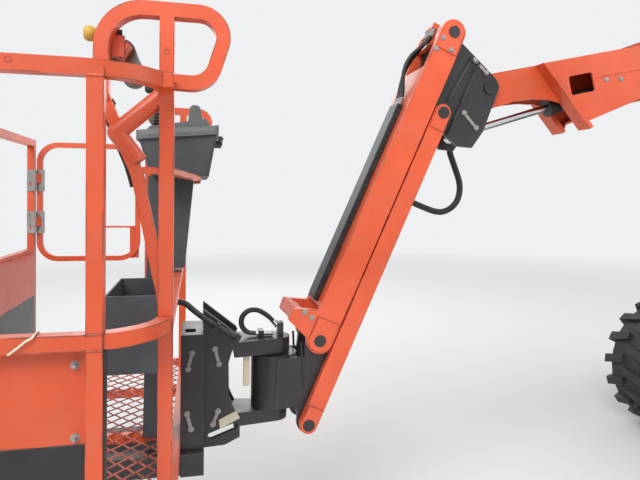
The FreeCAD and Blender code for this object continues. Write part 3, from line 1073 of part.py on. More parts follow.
make_all()
os.makedirs("parts", exist_ok=True)
for node, shape in NODES.items():
    placed = shape.copy()
    placed.translate(vec(-MIDDLE_X, 0, 0))
    placed.exportStep("parts/" + node + ".step")
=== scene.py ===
"""Articulating boom lift: finishes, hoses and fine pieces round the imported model, its camera and studio."""

import json
import math

import bmesh
import bpy
import numpy as np
from mathutils import Matrix, Vector


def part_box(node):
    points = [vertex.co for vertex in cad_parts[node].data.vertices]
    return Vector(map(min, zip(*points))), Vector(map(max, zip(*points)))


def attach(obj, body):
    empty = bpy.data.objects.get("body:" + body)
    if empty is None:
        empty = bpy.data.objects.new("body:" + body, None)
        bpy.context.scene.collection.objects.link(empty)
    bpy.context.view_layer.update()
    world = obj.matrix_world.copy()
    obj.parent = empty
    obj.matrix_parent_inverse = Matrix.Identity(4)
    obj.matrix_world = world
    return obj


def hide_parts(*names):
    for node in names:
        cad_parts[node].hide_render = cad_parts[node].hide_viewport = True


bl_info = {
    "name": "Articulating Boom Lift",
    "version": (1, 0, 0),
    "blender": (4, 5, 0),
    "location": "3D View > Sidebar > Boom Lift",
    "description": "Dresses the boom lift with its finishes, hoses, fasteners and controls",
    "category": "Object",
}

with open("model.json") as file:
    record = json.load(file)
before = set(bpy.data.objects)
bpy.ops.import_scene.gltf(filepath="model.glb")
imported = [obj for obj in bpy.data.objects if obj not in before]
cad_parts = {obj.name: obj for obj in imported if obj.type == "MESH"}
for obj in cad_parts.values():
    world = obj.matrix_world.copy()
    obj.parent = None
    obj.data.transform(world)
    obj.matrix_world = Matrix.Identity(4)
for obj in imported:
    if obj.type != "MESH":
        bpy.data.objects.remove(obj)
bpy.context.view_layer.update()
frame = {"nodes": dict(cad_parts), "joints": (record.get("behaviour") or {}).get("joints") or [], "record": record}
PIVOT = {joint["name"]: Vector(joint.get("pos_m", (0, 0, 0))) for joint in frame["joints"]}

# Pins of the boom's nose, the jib's two ends and the rotator
NOSE_PIN = PIVOT["platform_level"]
JIB_PIN = PIVOT["jib_lift"]
FOOT_PIN = PIVOT["jib_foot_turn"] + (PIVOT["jib_link_turn"] - JIB_PIN)
ROTATOR = PIVOT["platform_rotate"]
GATE_PIN = PIVOT["gate_swing"]

# Degrees by which the jib falls from level, and how far from the middle the padded sleeves start
JIB_DROP = 66.3
SLEEVE_INNER = 0.4067

# Camera as fitted to the photograph: place in metres, angles in degrees, lengths in its pixels
CAMERA_PLACE = (2.3623, 2.045, 1.505)
CAMERA_YAW = 77.44
CAMERA_PITCH = 1.16
CAMERA_ROLL = -0.67
IMAGE_WIDTH = 640.0
IMAGE_HEIGHT = 480.0
FOCAL_PIXELS = 553.03
AXIS_ROW = 207.38
SENSOR_WIDTH = 36.0

# Pale background, the rays that see it in place of the sky's light, and where the floor fades to it
BACKGROUND = (0.86, 0.87, 0.88)
SEEN_RAYS = ("Is Camera Ray", "Is Glossy Ray", "Is Transmission Ray")
FLOOR_FADE = (2.5, 13.0)
FLOOR_REACH = 120.0

# Radius to which poles and tube ends close before their points are merged
TIP = 1e-5
X_AXIS, Y_AXIS, Z_AXIS = (1, 0, 0), (0, 1, 0), (0, 0, 1)
BOTH_SIDES = ((1, "near"), (-1, "far"))


# Meshes

def around(count):
    """Equal angles once round, from 0."""
    return np.arange(count) * 2 * math.pi / count


def grid_faces(rows, columns, wrap_rows=False):
    """Quads between neighbouring rows and columns of a grid whose columns close to a ring."""
    i = np.arange(rows if wrap_rows else rows - 1)
    i, j = (a.ravel() for a in np.meshgrid(i, np.arange(columns), indexing="ij"))
    i2, j2 = (i + 1) % rows, (j + 1) % columns
    return np.stack([i * columns + j, i * columns + j2, i2 * columns + j2, i2 * columns + j], 1)


def unit(v):
    """A vector divided by its length."""
    v = np.asarray(v, float)
    return v / np.linalg.norm(v)


def square_to(direction):
    """Two unit vectors square to a direction and to each other."""
    d = unit(direction)
    side = unit(np.cross(d, (0.0, 0.0, 1.0) if abs(d[2]) < 0.9 else (1.0, 0.0, 0.0)))
    return side, np.cross(side, d)


def turned_part(profile, centre, axis, sides):
    """Surface of revolution: the profile's radius, height pairs carried round the axis."""
    profile = np.asarray(profile, float)
    u, v = square_to(axis)
    w = unit(axis)
    angle = around(sides)
    ring = np.cos(angle)[:, None] * u - np.sin(angle)[:, None] * v
    points = profile[:, None, :1] * ring[None] + profile[:, None, 1:] * w + np.asarray(centre, float)
    return points.reshape(-1, 3), grid_faces(len(profile), sides)


def carried_tube(path, radius, sides=8):
    """A circle carried along a path, its frame turned least from point to point, both ends closed."""
    path = np.asarray(path, float)
    step = np.gradient(path, axis=0)
    step /= np.linalg.norm(step, axis=1)[:, None]
    side, _ = square_to(step[0])
    frames = []
    for tangent in step:
        side = unit(side - tangent * np.dot(side, tangent))
        frames.append(side)
    side = np.array(frames)
    up = np.cross(step, side)
    radius = np.broadcast_to(np.asarray(radius, float), (len(path),))
    size = np.concatenate([[TIP], radius, [TIP]])
    pick = np.concatenate([[0], np.arange(len(path)), [len(path) - 1]])
    angle = around(sides)[None, :, None]
    ring = np.cos(angle) * side[pick][:, None] + np.sin(angle) * up[pick][:, None]
    points = path[pick][:, None] + size[:, None, None] * ring
    return points.reshape(-1, 3), grid_faces(len(pick), sides)


def soft_block(centre, half, radius, rows=13, columns=24):
    """A sphere pushed apart to a block: the corner in each direction plus radius times that direction."""
    centre, half = np.asarray(centre, float), np.asarray(half, float)
    polar = np.linspace(0.004, math.pi - 0.004, rows)
    turn = around(columns) + math.pi / columns
    polar, turn = np.meshgrid(polar, turn, indexing="ij")
    way = np.stack([np.sin(polar) * np.cos(turn), np.sin(polar) * np.sin(turn), np.cos(polar)], 2)
    inner = np.maximum(half - radius, 0)
    points = centre + np.clip(way * 40.0, -1, 1) * inner + radius * way
    return points.reshape(-1, 3), grid_faces(rows, columns)


def flat_plate(corners, axis, thickness):
    """A plate: the corners in a plane, and the same corners one thickness along the axis."""
    low = np.asarray(corners, float)
    count = len(low)
    points = np.concatenate([low, low + unit(axis) * thickness])
    ring = np.arange(count)
    sides = [[a, (a + 1) % count, (a + 1) % count + count, a + count] for a in ring]
    return points, [list(ring[::-1]), list(ring + count)] + sides


def block(x0, x1, y0, y1, z0, z1):
    """A plate or bar square to the machine: its lower face and the same one higher by its height."""
    return flat_plate([(x0, y0, z0), (x1, y0, z0), (x1, y1, z0), (x0, y1, z0)], Z_AXIS, z1 - z0)


def merged(parts):
    """Several point and face pairs as one."""
    points, faces, base = [], [], 0
    for some_points, some_faces in parts:
        points.append(some_points)
        faces.extend([[int(k) + base for k in face] for face in some_faces])
        base += len(some_points)
    return np.concatenate(points), faces


def piece(name, parts, body, material, smooth=True, replaces=(), bevel=0.0):
    """Makes one mesh object of the parts, closed and facing outwards, and lets it ride on a body."""
    points, faces = merged(parts if isinstance(parts, list) else [parts])
    mesh = bpy.data.meshes.new(name)
    mesh.from_pydata(points.tolist(), [], faces)
    mesh.update()
    work = bmesh.new()
    work.from_mesh(mesh)
    bmesh.ops.remove_doubles(work, verts=work.verts, dist=2 * TIP)
    bmesh.ops.dissolve_degenerate(work, dist=1e-6, edges=work.edges)
    bmesh.ops.recalc_face_normals(work, faces=work.faces)
    work.to_mesh(mesh)
    work.free()
    mesh.polygons.foreach_set("use_smooth", [smooth] * len(mesh.polygons))
    if smooth:
        mesh.set_sharp_from_angle(angle=math.radians(35.0))
    mesh.materials.append(material)
    obj = bpy.data.objects.new(name, mesh)
    bpy.context.scene.collection.objects.link(obj)
    if bevel:
        finish = obj.modifiers.new("worn edges", "BEVEL")
        finish.width, finish.segments, finish.limit_method = bevel, 2, "ANGLE"
    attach(obj, body)
    if replaces:
        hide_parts(*replaces)
    return obj


def hex_bolt(at, axis, size, washer=True):
    """A hexagon head of that width with its chamfer, on a washer."""
    parts = []
    washer_top = size * 0.09
    if washer:
        washer_radius = size * 0.66
        parts.append(turned_part([(TIP, 0), (washer_radius, 0), (washer_radius, washer_top),
                                  (TIP, washer_top)], at, axis, 18))
    low = washer_top if washer else 0.0
    rise = size * 0.36
    parts.append(turned_part([(TIP, low), (size / 2, low), (size / 2, rise - size * 0.05),
                              (size * 0.42, rise), (TIP, rise)], at, axis, 6))
    return merged(parts)


def slotted(p0, p1, half, y0, y1):
    """A flat bar between two x, z points with round ends: half a circle at each end, from y0 to y1."""
    p0, p1 = np.asarray(p0, float), np.asarray(p1, float)
    along = math.atan2(p1[1] - p0[1], p1[0] - p0[0])
    angle = along + np.linspace(-math.pi / 2, math.pi / 2, 7)
    arc = half * np.stack([np.cos(angle), np.sin(angle)], 1)
    outline = np.concatenate([p1 + arc, p0 - arc])
    return flat_plate(np.insert(outline, 1, y0, axis=1), Y_AXIS, y1 - y0)


def weld_bead(start, end, width):
    """A half-sunk bead: a tube along the line whose radius swells at every ripple."""
    start, end = np.asarray(start, float), np.asarray(end, float)
    count = max(8, int(np.linalg.norm(end - start) / 0.0016))
    along = np.linspace(0.0, 1.0, count)
    radius = width / 2 * (0.84 + 0.16 * np.abs(np.sin(along * count * 0.55)))
    return carried_tube(start + along[:, None] * (end - start), radius)


def square_band(centre, half, rise, lean):
    """A strap round an upright square tube: its four sides carried round, leaning by that angle about Y."""
    corner = np.array([(1, 1), (-1, 1), (-1, -1), (1, -1)]) * half
    turn = np.array([(math.cos(lean), 0, math.sin(lean)), (0, 1, 0), (-math.sin(lean), 0, math.cos(lean))])
    rows = []
    for grow, z in ((0.0, -rise), (0.0015, -rise), (0.0015, rise), (0.0, rise)):
        ring = np.insert(corner + np.sign(corner) * grow, 2, z, axis=1)
        rows.append(ring @ turn.T + np.asarray(centre, float))
    return np.concatenate(rows), grid_faces(4, 4, wrap_rows=True)


def hose_curve(name, route, diameter, body, material):
    """A hose: one open spline with the route's points as its control points, given a round section."""
    curve = bpy.data.curves.new(name, "CURVE")
    curve.dimensions = "3D"
    curve.resolution_u = 14
    curve.bevel_depth = diameter / 2
    curve.bevel_resolution = 5
    curve.use_fill_caps = True
    spline = curve.splines.new("NURBS")
    spline.points.add(len(route) - 1)
    spline.points.foreach_set("co", np.insert(np.asarray(route, float), 3, 1.0, axis=1).ravel())
    spline.order_u = 3
    spline.use_endpoint_u = True
    curve.materials.append(material)
    obj = bpy.data.objects.new(name, curve)
    bpy.context.scene.collection.objects.link(obj)
    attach(obj, body)
    return obj


def ferrule(at, axis, hose_diameter, length):
    """A crimped end: a nut, a neck and a sleeve with four pressed rings, turned about the hose's own line."""
    r = hose_diameter / 2
    rings = [(r + 0.0022 - 0.0009 * (k % 2), length * (0.36 + 0.075 * k)) for k in range(8)]
    sleeve = turned_part([(TIP, 0), (r + 0.0012, 0), (r + 0.0012, length * 0.33)] + rings +
                         [(r + 0.0004, length), (TIP, length)], at, axis, 20)
    nut = turned_part([(TIP, 0.001), (r + 0.0042, 0.001), (r + 0.0042, length * 0.26),
                       (TIP, length * 0.26)], at, axis, 6)
    return merged([sleeve, nut])


# Shader maths

class Shade:
    """One socket of a shader tree, so that a sum written on it adds its Math nodes."""

    def __init__(self, tree, socket):
        self.tree, self.socket = tree, socket

    def maths(self, operation, *values):
        """A Math node with that operation on the values, in their order."""
        return self.tree.add("ShaderNodeMath", {"operation": operation}, list(values))

    def __add__(self, other):
        return self.maths("ADD", self, other)

    def __sub__(self, other):
        return self.maths("SUBTRACT", self, other)

    def __mul__(self, other):
        return self.maths("MULTIPLY", self, other)

    def __truediv__(self, other):
        return self.maths("DIVIDE", self, other)

    def __rsub__(self, other):
        return self.maths("SUBTRACT", other, self)

    __radd__ = __add__
    __rmul__ = __mul__

    def sine(self):
        """Its sine, taking it as an angle in radians."""
        return self.maths("SINE", self)

    def or_more(self, other):
        """The larger of the two."""
        return self.maths("MAXIMUM", self, other)

    def limited(self):
        """Kept between 0 and 1."""
        return self.maths("MINIMUM", self, 1.0).or_more(0.0)

    def between(self, low, high):
        """0 below low, 1 above high and a straight ramp between them."""
        return ((self - low) / (high - low)).limited()


class Tree:
    """A material's node tree, with one method that adds any node."""

    def __init__(self, name):
        self.material = bpy.data.materials.new(name)
        self.material.use_nodes = True
        self.nodes = self.material.node_tree.nodes
        self.links = self.material.node_tree.links
        self.nodes.clear()
        self.shader = self.nodes.new("ShaderNodeBsdfPrincipled")
        output = self.nodes.new("ShaderNodeOutputMaterial")
        self.links.new(self.shader.outputs["BSDF"], output.inputs["Surface"])
        self.place = self.add("ShaderNodeTexCoord", {}, {}, "Object")

    def set(self, socket, value):
        """Links a shade to the socket, or writes a plain value on it."""
        if isinstance(value, Shade):
            self.links.new(value.socket, socket)
        else:
            socket.default_value = value

    def add(self, kind, settings, values, output=0):
        """A node of that type: its settings first, then the values or links of its sockets."""
        node = self.nodes.new(kind)
        for key, value in settings.items():
            setattr(node, key, value)
        for key, value in enumerate(values) if isinstance(values, list) else values.items():
            self.set(node.inputs[key], value)
        return Shade(self, node.outputs[output])

    def mix(self, amount, first, second):
        """Colour first where amount is 0 and second where it is 1."""
        first, second = ((*c, 1.0) if isinstance(c, tuple) else c for c in (first, second))
        return self.add("ShaderNodeMix", {"data_type": "RGBA"}, {0: amount, 6: first, 7: second}, 2)

    def noise(self, scale, detail=4.0, roughness=0.55, at=None, distortion=0.0):
        """Cloudy noise about 0.5, at Object coordinates or at those given."""
        values = {"Vector": at or self.place, "Scale": scale, "Detail": detail, "Roughness": roughness,
                  "Distortion": distortion}
        return self.add("ShaderNodeTexNoise", {}, values)

    def stretched(self, scale):
        """Object coordinates scaled by three numbers, for patterns that run one way."""
        return self.add("ShaderNodeMapping", {}, {"Vector": self.place, "Scale": scale})

    def edges(self, radius):
        """1 on convex and concave edges: how far the rounded normal leaves the true one."""
        rounded = self.add("ShaderNodeBevel", {"samples": 4}, {"Radius": radius})
        true = self.add("ShaderNodeNewGeometry", {}, {}, "Normal")
        dot = self.add("ShaderNodeVectorMath", {"operation": "DOT_PRODUCT"}, [rounded, true], "Value")
        return ((1.0 - dot) * 5.0).limited()

    def facing_up(self):
        """1 on level faces, 0 on upright ones and below."""
        normal = self.add("ShaderNodeNewGeometry", {}, {}, "Normal")
        return self.add("ShaderNodeSeparateXYZ", {}, [normal], "Z").limited()

    def height(self):
        """Metres above the floor."""
        return self.add("ShaderNodeSeparateXYZ", {}, [self.place], "Z")

    def finish(self, colour, roughness, bump=None, strength=0.2, distance=0.001, **others):
        """Sets the shader's sockets, with a Bump node before Normal, and gives the material."""
        self.set(self.shader.inputs["Base Color"], colour)
        self.set(self.shader.inputs["Roughness"], roughness)
        for key, value in others.items():
            self.set(self.shader.inputs[key.replace("_", " ")], value)
        if bump is not None:
            normal = self.add("ShaderNodeBump", {}, {"Strength": strength, "Distance": distance,
                                                     "Height": bump}, "Normal")
            self.set(self.shader.inputs["Normal"], normal)
        return self.material


def toned(paint, times, plus=0.0):
    """A paint multiplied and lifted, channel by channel, and kept below 1."""
    return tuple(min(1.0, c * times + plus) for c in paint)


def worn_paint(name, paint, under=(0.035, 0.028, 0.026), dust=(0.30, 0.25, 0.20), chips=0.5, dusty=0.35,
               gloss=0.38):
    """Paint that has faded in patches, with chips along its edges, scratches and dust on top."""
    t = Tree(name)
    patches = t.noise(1.7, 3.0)
    fine = t.noise(34.0, 5.0, 0.6)
    colour = t.mix(patches.between(0.35, 0.68), toned(paint, 0.82), toned(paint, 1.12, 0.02))
    streaks = t.noise(6.0, 4.0, 0.6, t.stretched((1.0, 1.0, 0.12)))
    colour = t.mix(streaks.between(0.55, 0.8) * 0.22, colour, toned(paint, 0.6))
    spots = t.noise(70.0, 3.0, 0.7)
    edge = t.edges(0.006)
    bare = (edge * 1.5 + spots * 0.9) * t.noise(9.0, 3.0).between(0.42, 0.62)
    bare = bare.between(1.05 - chips * 0.35, 1.2)
    small = spots.between(0.735, 0.75) * t.noise(4.0, 2.0).between(0.52, 0.62) * min(1.0, chips * 1.4)
    worn = bare.or_more(small)
    colour = t.mix(worn, colour, under)
    dirt = (t.facing_up() * 0.6 + 0.25) * t.noise(11.0, 5.0, 0.65).between(0.42, 0.75) * dusty
    colour = t.mix(dirt, colour, dust)
    rough = (fine * 0.16 + gloss - 0.08 + dirt * 0.5 + worn * 0.35).limited()
    return t.finish(colour, rough, fine * 0.25 - worn * 1.2, 0.35, 0.0006, Coat_Weight=0.08)


def tyre_rubber(name):
    """Dull black rubber, dusty in patches and scuffed pale along the lugs' edges."""
    t = Tree(name)
    grain = t.noise(160.0, 4.0)
    dust = t.noise(7.0, 5.0, 0.65).between(0.38, 0.72)
    colour = t.mix(dust * 0.55, (0.012, 0.012, 0.012), (0.075, 0.068, 0.058))
    edge = t.edges(0.008) * t.noise(24.0, 3.0).between(0.35, 0.65)
    colour = t.mix(edge * 0.5, colour, (0.11, 0.10, 0.09))
    return t.finish(colour, 0.62 + dust * 0.3, grain, 0.4, 0.0012)


def bright_rod(name):
    """Chromed steel with smears of oil along it."""
    t = Tree(name)
    smear = t.noise(22.0, 4.0, 0.6, t.stretched((1.0, 6.0, 1.0)))
    colour = t.mix(smear.between(0.4, 0.7), (0.74, 0.75, 0.77), (0.52, 0.52, 0.53))
    return t.finish(colour, 0.14 + smear.between(0.45, 0.8) * 0.25, smear, 0.05, 0.0003, Metallic=1.0)


def moulded_plastic(name, paint, dust=(0.34, 0.30, 0.25), grain_scale=420.0, dusty=0.4, gloss=0.5):
    """Grained plastic or rubber, scuffed one way, pale at its edges and dusty on top."""
    t = Tree(name)
    grain = t.noise(grain_scale, 2.0)
    cloud = t.noise(8.0, 5.0, 0.6)
    colour = t.mix(cloud.between(0.35, 0.7), toned(paint, 0.85), toned(paint, 1.15))
    scuff = t.noise(30.0, 4.0, 0.7, t.stretched((1.0, 0.4, 2.0))).between(0.62, 0.72)
    colour = t.mix(scuff * 0.3, colour, toned(paint, 1.6, 0.04))
    dirt = (t.facing_up() * 0.7 + 0.2) * cloud.between(0.4, 0.72) * dusty
    colour = t.mix(dirt, colour, dust)
    edge = t.edges(0.005) * cloud.between(0.4, 0.6)
    colour = t.mix(edge * 0.35, colour, toned(paint, 2.0, 0.05))
    return t.finish(colour, (gloss + dirt * 0.4 + grain * 0.1).limited(), grain, 0.25, 0.0005)


def ribbed_rubber(name):
    """Black strip whose ribs run across it: a sine of the height, one rib every 22 mm."""
    t = Tree(name)
    ribs = (t.height() * 286.0).sine()
    dust = t.noise(18.0, 4.0).between(0.42, 0.7)
    colour = t.mix(dust * 0.35, (0.010, 0.010, 0.011), (0.09, 0.08, 0.07))
    return t.finish(colour, 0.6 + dust * 0.2, ribs, 0.22, 0.002)


def foam_sleeve(name):
    """A padded sleeve, scuffed and dirty, with shallow creases."""
    t = Tree(name)
    creases = t.noise(28.0, 5.0, 0.7, t.stretched((1.0, 0.35, 1.0)), 0.6)
    dirt = t.noise(9.0, 5.0, 0.6).between(0.35, 0.7)
    colour = t.mix(dirt, (0.155, 0.122, 0.085), (0.040, 0.033, 0.026))
    return t.finish(colour, 0.82, creases, 0.8, 0.004, Sheen_Weight=0.2)


def cast_metal(name, paint, gloss=0.62):
    """Bare or thinly painted metal with a sandy surface and dirt on its level faces."""
    t = Tree(name)
    sand = t.noise(240.0, 3.0)
    cloud = t.noise(5.0, 4.0)
    colour = t.mix(cloud.between(0.35, 0.7), toned(paint, 0.8), toned(paint, 1.25))
    dirt = t.facing_up() * t.noise(14.0, 5.0, 0.6).between(0.4, 0.7) * 0.45
    colour = t.mix(dirt, colour, (0.26, 0.22, 0.18))
    return t.finish(colour, (gloss + dirt * 0.3).limited(), sand, 0.5, 0.001)


FINISH = {}


def give_finish(node, material):
    """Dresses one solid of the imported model."""
    mesh = frame["nodes"][node].data
    mesh.materials.clear()
    mesh.materials.append(material)


def colour_property(name, description, colour):
    """A colour that the panel shows."""
    return bpy.props.FloatVectorProperty(name=name, description=description, subtype="COLOR", size=3, min=0.0,
                                         max=1.0, default=colour)


def length_property(name, description, metres):
    """A length that the panel shows."""
    return bpy.props.FloatProperty(name=name, description=description, unit="LENGTH", subtype="DISTANCE",
                                   min=0.0005, max=2.0, default=metres)


class LiftColours(bpy.types.PropertyGroup):
    """Colours that a user would change."""
    boom: colour_property("Boom paint", "Paint of the booms, jib, rails and covers", (0.71, 0.088, 0.021))
    frame: colour_property("Frame paint", "Paint of the chassis, turntable, brackets and cylinders",
                           (0.009, 0.009, 0.010))
    rim: colour_property("Wheel paint", "Paint of the wheel rims", (0.55, 0.53, 0.47))
    console: colour_property("Console plastic", "Moulded plastic of the control console",
                             (0.050, 0.057, 0.063))
    lid: colour_property("Lid plastic", "Moulded plastic of the console's lid", (0.115, 0.124, 0.126))
    floor: colour_property("Platform floor paint", "Paint of the expanded metal floor",
                           (0.42, 0.062, 0.035))
    mushroom: colour_property("Stop button", "Colour of the stop buttons and the foot switch cover",
                              (0.52, 0.02, 0.015))
    studio: colour_property("Studio floor", "Colour of the floor that the machine stands on",
                            (0.74, 0.74, 0.72))


class LiftSizes(bpy.types.PropertyGroup):
    """Sizes of the fine pieces."""
    bolt: length_property("Bolt head", "Width of the keeper bolt heads", 0.016)
    small_bolt: length_property("Small bolt head", "Width of the hinge bolt heads", 0.011)
    wheel_nut: length_property("Wheel nut", "Width of the nuts on the wheel hubs", 0.024)
    mesh_pitch: length_property("Mesh pitch", "Distance between strands of the platform floor", 0.030)
    panel_bolt: length_property("Panel bolt head", "Width of the side panel bolt heads", 0.014)
    nose_hose: length_property("Nose hose", "Outer diameter of the hose that hangs at the boom's nose", 0.026)
    arm_hose: length_property("Arm hoses", "Outer diameter of the hoses over the jib's top pin", 0.015)
    weld: length_property("Weld bead", "Width of the weld beads", 0.009)


# Operators

class LIFT_OT_finishes(bpy.types.Operator):
    """Give every solid of the machine its worn finish"""
    bl_idname = "boom_lift.finishes"
    bl_label = "Finishes"

    def execute(self, context):
        c = context.scene.lift_colours
        boom, iron, rim, floor = tuple(c.boom), tuple(c.frame), tuple(c.rim), tuple(c.floor)
        console, lid, mushroom = tuple(c.console), tuple(c.lid), tuple(c.mushroom)
        FINISH.update({
            "orange": worn_paint("worn boom paint", boom),
            "black": worn_paint("satin frame paint", iron, (0.10, 0.09, 0.085), (0.12, 0.10, 0.085), 0.35,
                                0.32, 0.40),
            "cream": worn_paint("wheel paint", rim, (0.10, 0.07, 0.05), (0.24, 0.20, 0.16), 0.4, 0.6, 0.5),
            "tyre": tyre_rubber("tyre rubber"),
            "steel": bright_rod("bright rod"),
            "grey": moulded_plastic("console plastic", console, (0.20, 0.19, 0.17), dusty=0.25),
            "lid": moulded_plastic("lid plastic", lid, (0.24, 0.23, 0.21), dusty=0.3),
            "engine": cast_metal("engine casting", (0.10, 0.10, 0.105)),
            "cast": cast_metal("counterweight casting", (0.05, 0.05, 0.055)),
            "foam": foam_sleeve("padded sleeve"),
            "mesh": worn_paint("worn floor paint", floor, (0.09, 0.06, 0.05), (0.25, 0.17, 0.13), 0.9, 0.6,
                               0.6),
            "red": moulded_plastic("stop button plastic", mushroom, gloss=0.3, dusty=0.2),
            "rubber": ribbed_rubber("ribbed rubber"),
            "zinc": cast_metal("zinc plated steel", (0.30, 0.29, 0.27), 0.42),
            "rails": worn_paint("worn rail paint", boom, chips=1.5, dusty=0.45),
            "label": moulded_plastic("pale plate", (0.62, 0.58, 0.44), (0.30, 0.26, 0.20), 300.0, 0.5, 0.5),
            "knob": moulded_plastic("yellow knob", (0.62, 0.40, 0.06), (0.30, 0.24, 0.16), 300.0, 0.4, 0.45),
            "hose": moulded_plastic("hose rubber", (0.014, 0.014, 0.015), (0.10, 0.09, 0.08), 260.0, 0.4,
                                    0.45),
        })
        slots = {entry["node"]: entry["material_slot"] for entry in frame["record"]["subparts"]}
        for node in frame["nodes"]:
            give_finish(node, FINISH[slots[node]])
        for node, finish in (("platform_rails", "rails"), ("gate", "rails"), ("console_lid", "lid")):
            give_finish(node, FINISH[finish])
        return {"FINISHED"}


class LIFT_OT_hoses(bpy.types.Operator):
    """Hang the free hoses at the boom's nose and over the jib's top pin, with their crimped ends"""
    bl_idname = "boom_lift.hoses"
    bl_label = "Hoses"

    def execute(self, context):
        sizes = context.scene.lift_sizes
        drop = ((0.056, -0.1603), (0.056, -0.216), (0.022, -0.300), (-0.006, -0.376), (0.010, -0.450),
                (0.074, -0.494), (0.150, -0.477), (0.264, -0.4278))
        route = [(NOSE_PIN.x + u, -0.150, NOSE_PIN.z + v) for u, v in drop]
        self.hang("nose_loop_hose", route, sizes.nose_hose, 0.573, "nose_bracket", "nose_hose", "hanging",
                  0.046)
        fall = math.radians(JIB_DROP)
        along = Vector((math.cos(fall), 0.0, -math.sin(fall)))
        outward = Vector((math.sin(fall), 0.0, math.cos(fall)))
        table = (
            # place across, length, then the place along the arm and the height over it of each turn
            (0.040, 0.3405, ((0.030, 0.054), (0.074, 0.070), (0.124, 0.096), (0.178, 0.101), (0.230, 0.084),
                             (0.276, 0.061))),
            (0.016, 0.3339, ((0.032, 0.054), (0.076, 0.066), (0.126, 0.085), (0.180, 0.090), (0.232, 0.079),
                             (0.278, 0.061))),
            (-0.008, 0.3298, ((0.034, 0.054), (0.078, 0.063), (0.128, 0.077), (0.182, 0.081), (0.234, 0.073),
                              (0.280, 0.061))),
        )
        for i, (y, length, turns) in enumerate(table, 1):
            turns = ((-0.0077, 0.054),) + turns + ((0.3177, 0.061),)
            route = [tuple(JIB_PIN + along * a + outward * u + Vector((0.0, y, 0.0))) for a, u in turns]
            self.hang("arm_hose_%d" % i, route, sizes.arm_hose, length, "jib_arm", "jib_top_hose_%d" % i,
                      "loose", 0.030)
        return {"FINISHED"}

    def hang(self, name, route, diameter, length, body, node, lay, end):
        """One free hose between its two crimped ends."""
        hose = hose_curve(name, route, diameter, body, FINISH["hose"])
        for i, (at, towards) in enumerate(((route[0], route[1]), (route[-1], route[-2])), 1):
            shape = ferrule(at, np.subtract(towards, at), diameter, end)
            piece("%s_end_%d" % (name, i), shape, body, FINISH["zinc"])
        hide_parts(node)


class LIFT_OT_keepers(bpy.types.Operator):
    """Bolt the pin keepers on the bracket, the fork and the channel, and the bolts of the jib's pads"""
    bl_idname = "boom_lift.keepers"
    bl_label = "Pin keepers"

    def execute(self, context):
        size = context.scene.lift_sizes.bolt
        keepers = (
            # name, body, face, first bolt, second bolt
            ("channel_keeper_top", "platform", 0.110, (2.3748, 0.9628), (2.3878, 0.9084)),
            ("channel_keeper_low", "platform", 0.110, (2.3901, 0.7533), (2.3764, 0.7004)),
            ("fork_keeper_top", "platform", 0.084, (2.2966, 0.9656), (2.2824, 0.9120)),
            ("fork_keeper_low", "platform", 0.084, (2.2845, 0.7459), (2.3015, 0.7012)),
            ("nose_pin_keeper", "nose_bracket", 0.088, (1.3241, 2.0341), (1.2755, 1.9889)),
            ("level_pin_keeper", "nose_bracket", 0.088, (1.3661, 1.8299), (1.3148, 1.7746)),
        )
        for name, body, face, first, second in keepers:
            for side, tail in ((1, ""), (-1, "_far")):
                y0, y1 = sorted((side * (face - 0.0005), side * (face + 0.0035)))
                bolts = [hex_bolt((x, side * (face + 0.003), z), (0, side, 0), size)
                         for x, z in (first, second)]
                piece(name + tail, [slotted(first, second, 0.0055, y0, y1)] + bolts, body,
                      FINISH["zinc"])
        singles = (
            # name, body, then each bolt's x, z and the face it stands on
            ("arm_top_bolts", "jib_arm",
             ((1.4739, 2.0995, 0.125), (1.4979, 2.0595, 0.120), (1.4410, 2.0555, 0.125))),
            ("arm_low_bolts", "jib_arm", ((1.9851, 1.0919, 0.120), (1.9590, 1.0708, 0.120))),
            ("fly_nose_bolts", "fly_boom", ((0.7388, 1.9923, 0.090), (0.6720, 2.0002, 0.090))),
        )
        for name, body, places in singles:
            bolts = [hex_bolt((x, side * face, z), (0, side, 0), size) for x, z, face in places
                     for side in (1, -1)]
            piece(name, bolts, body, FINISH["zinc"])
        return {"FINISHED"}


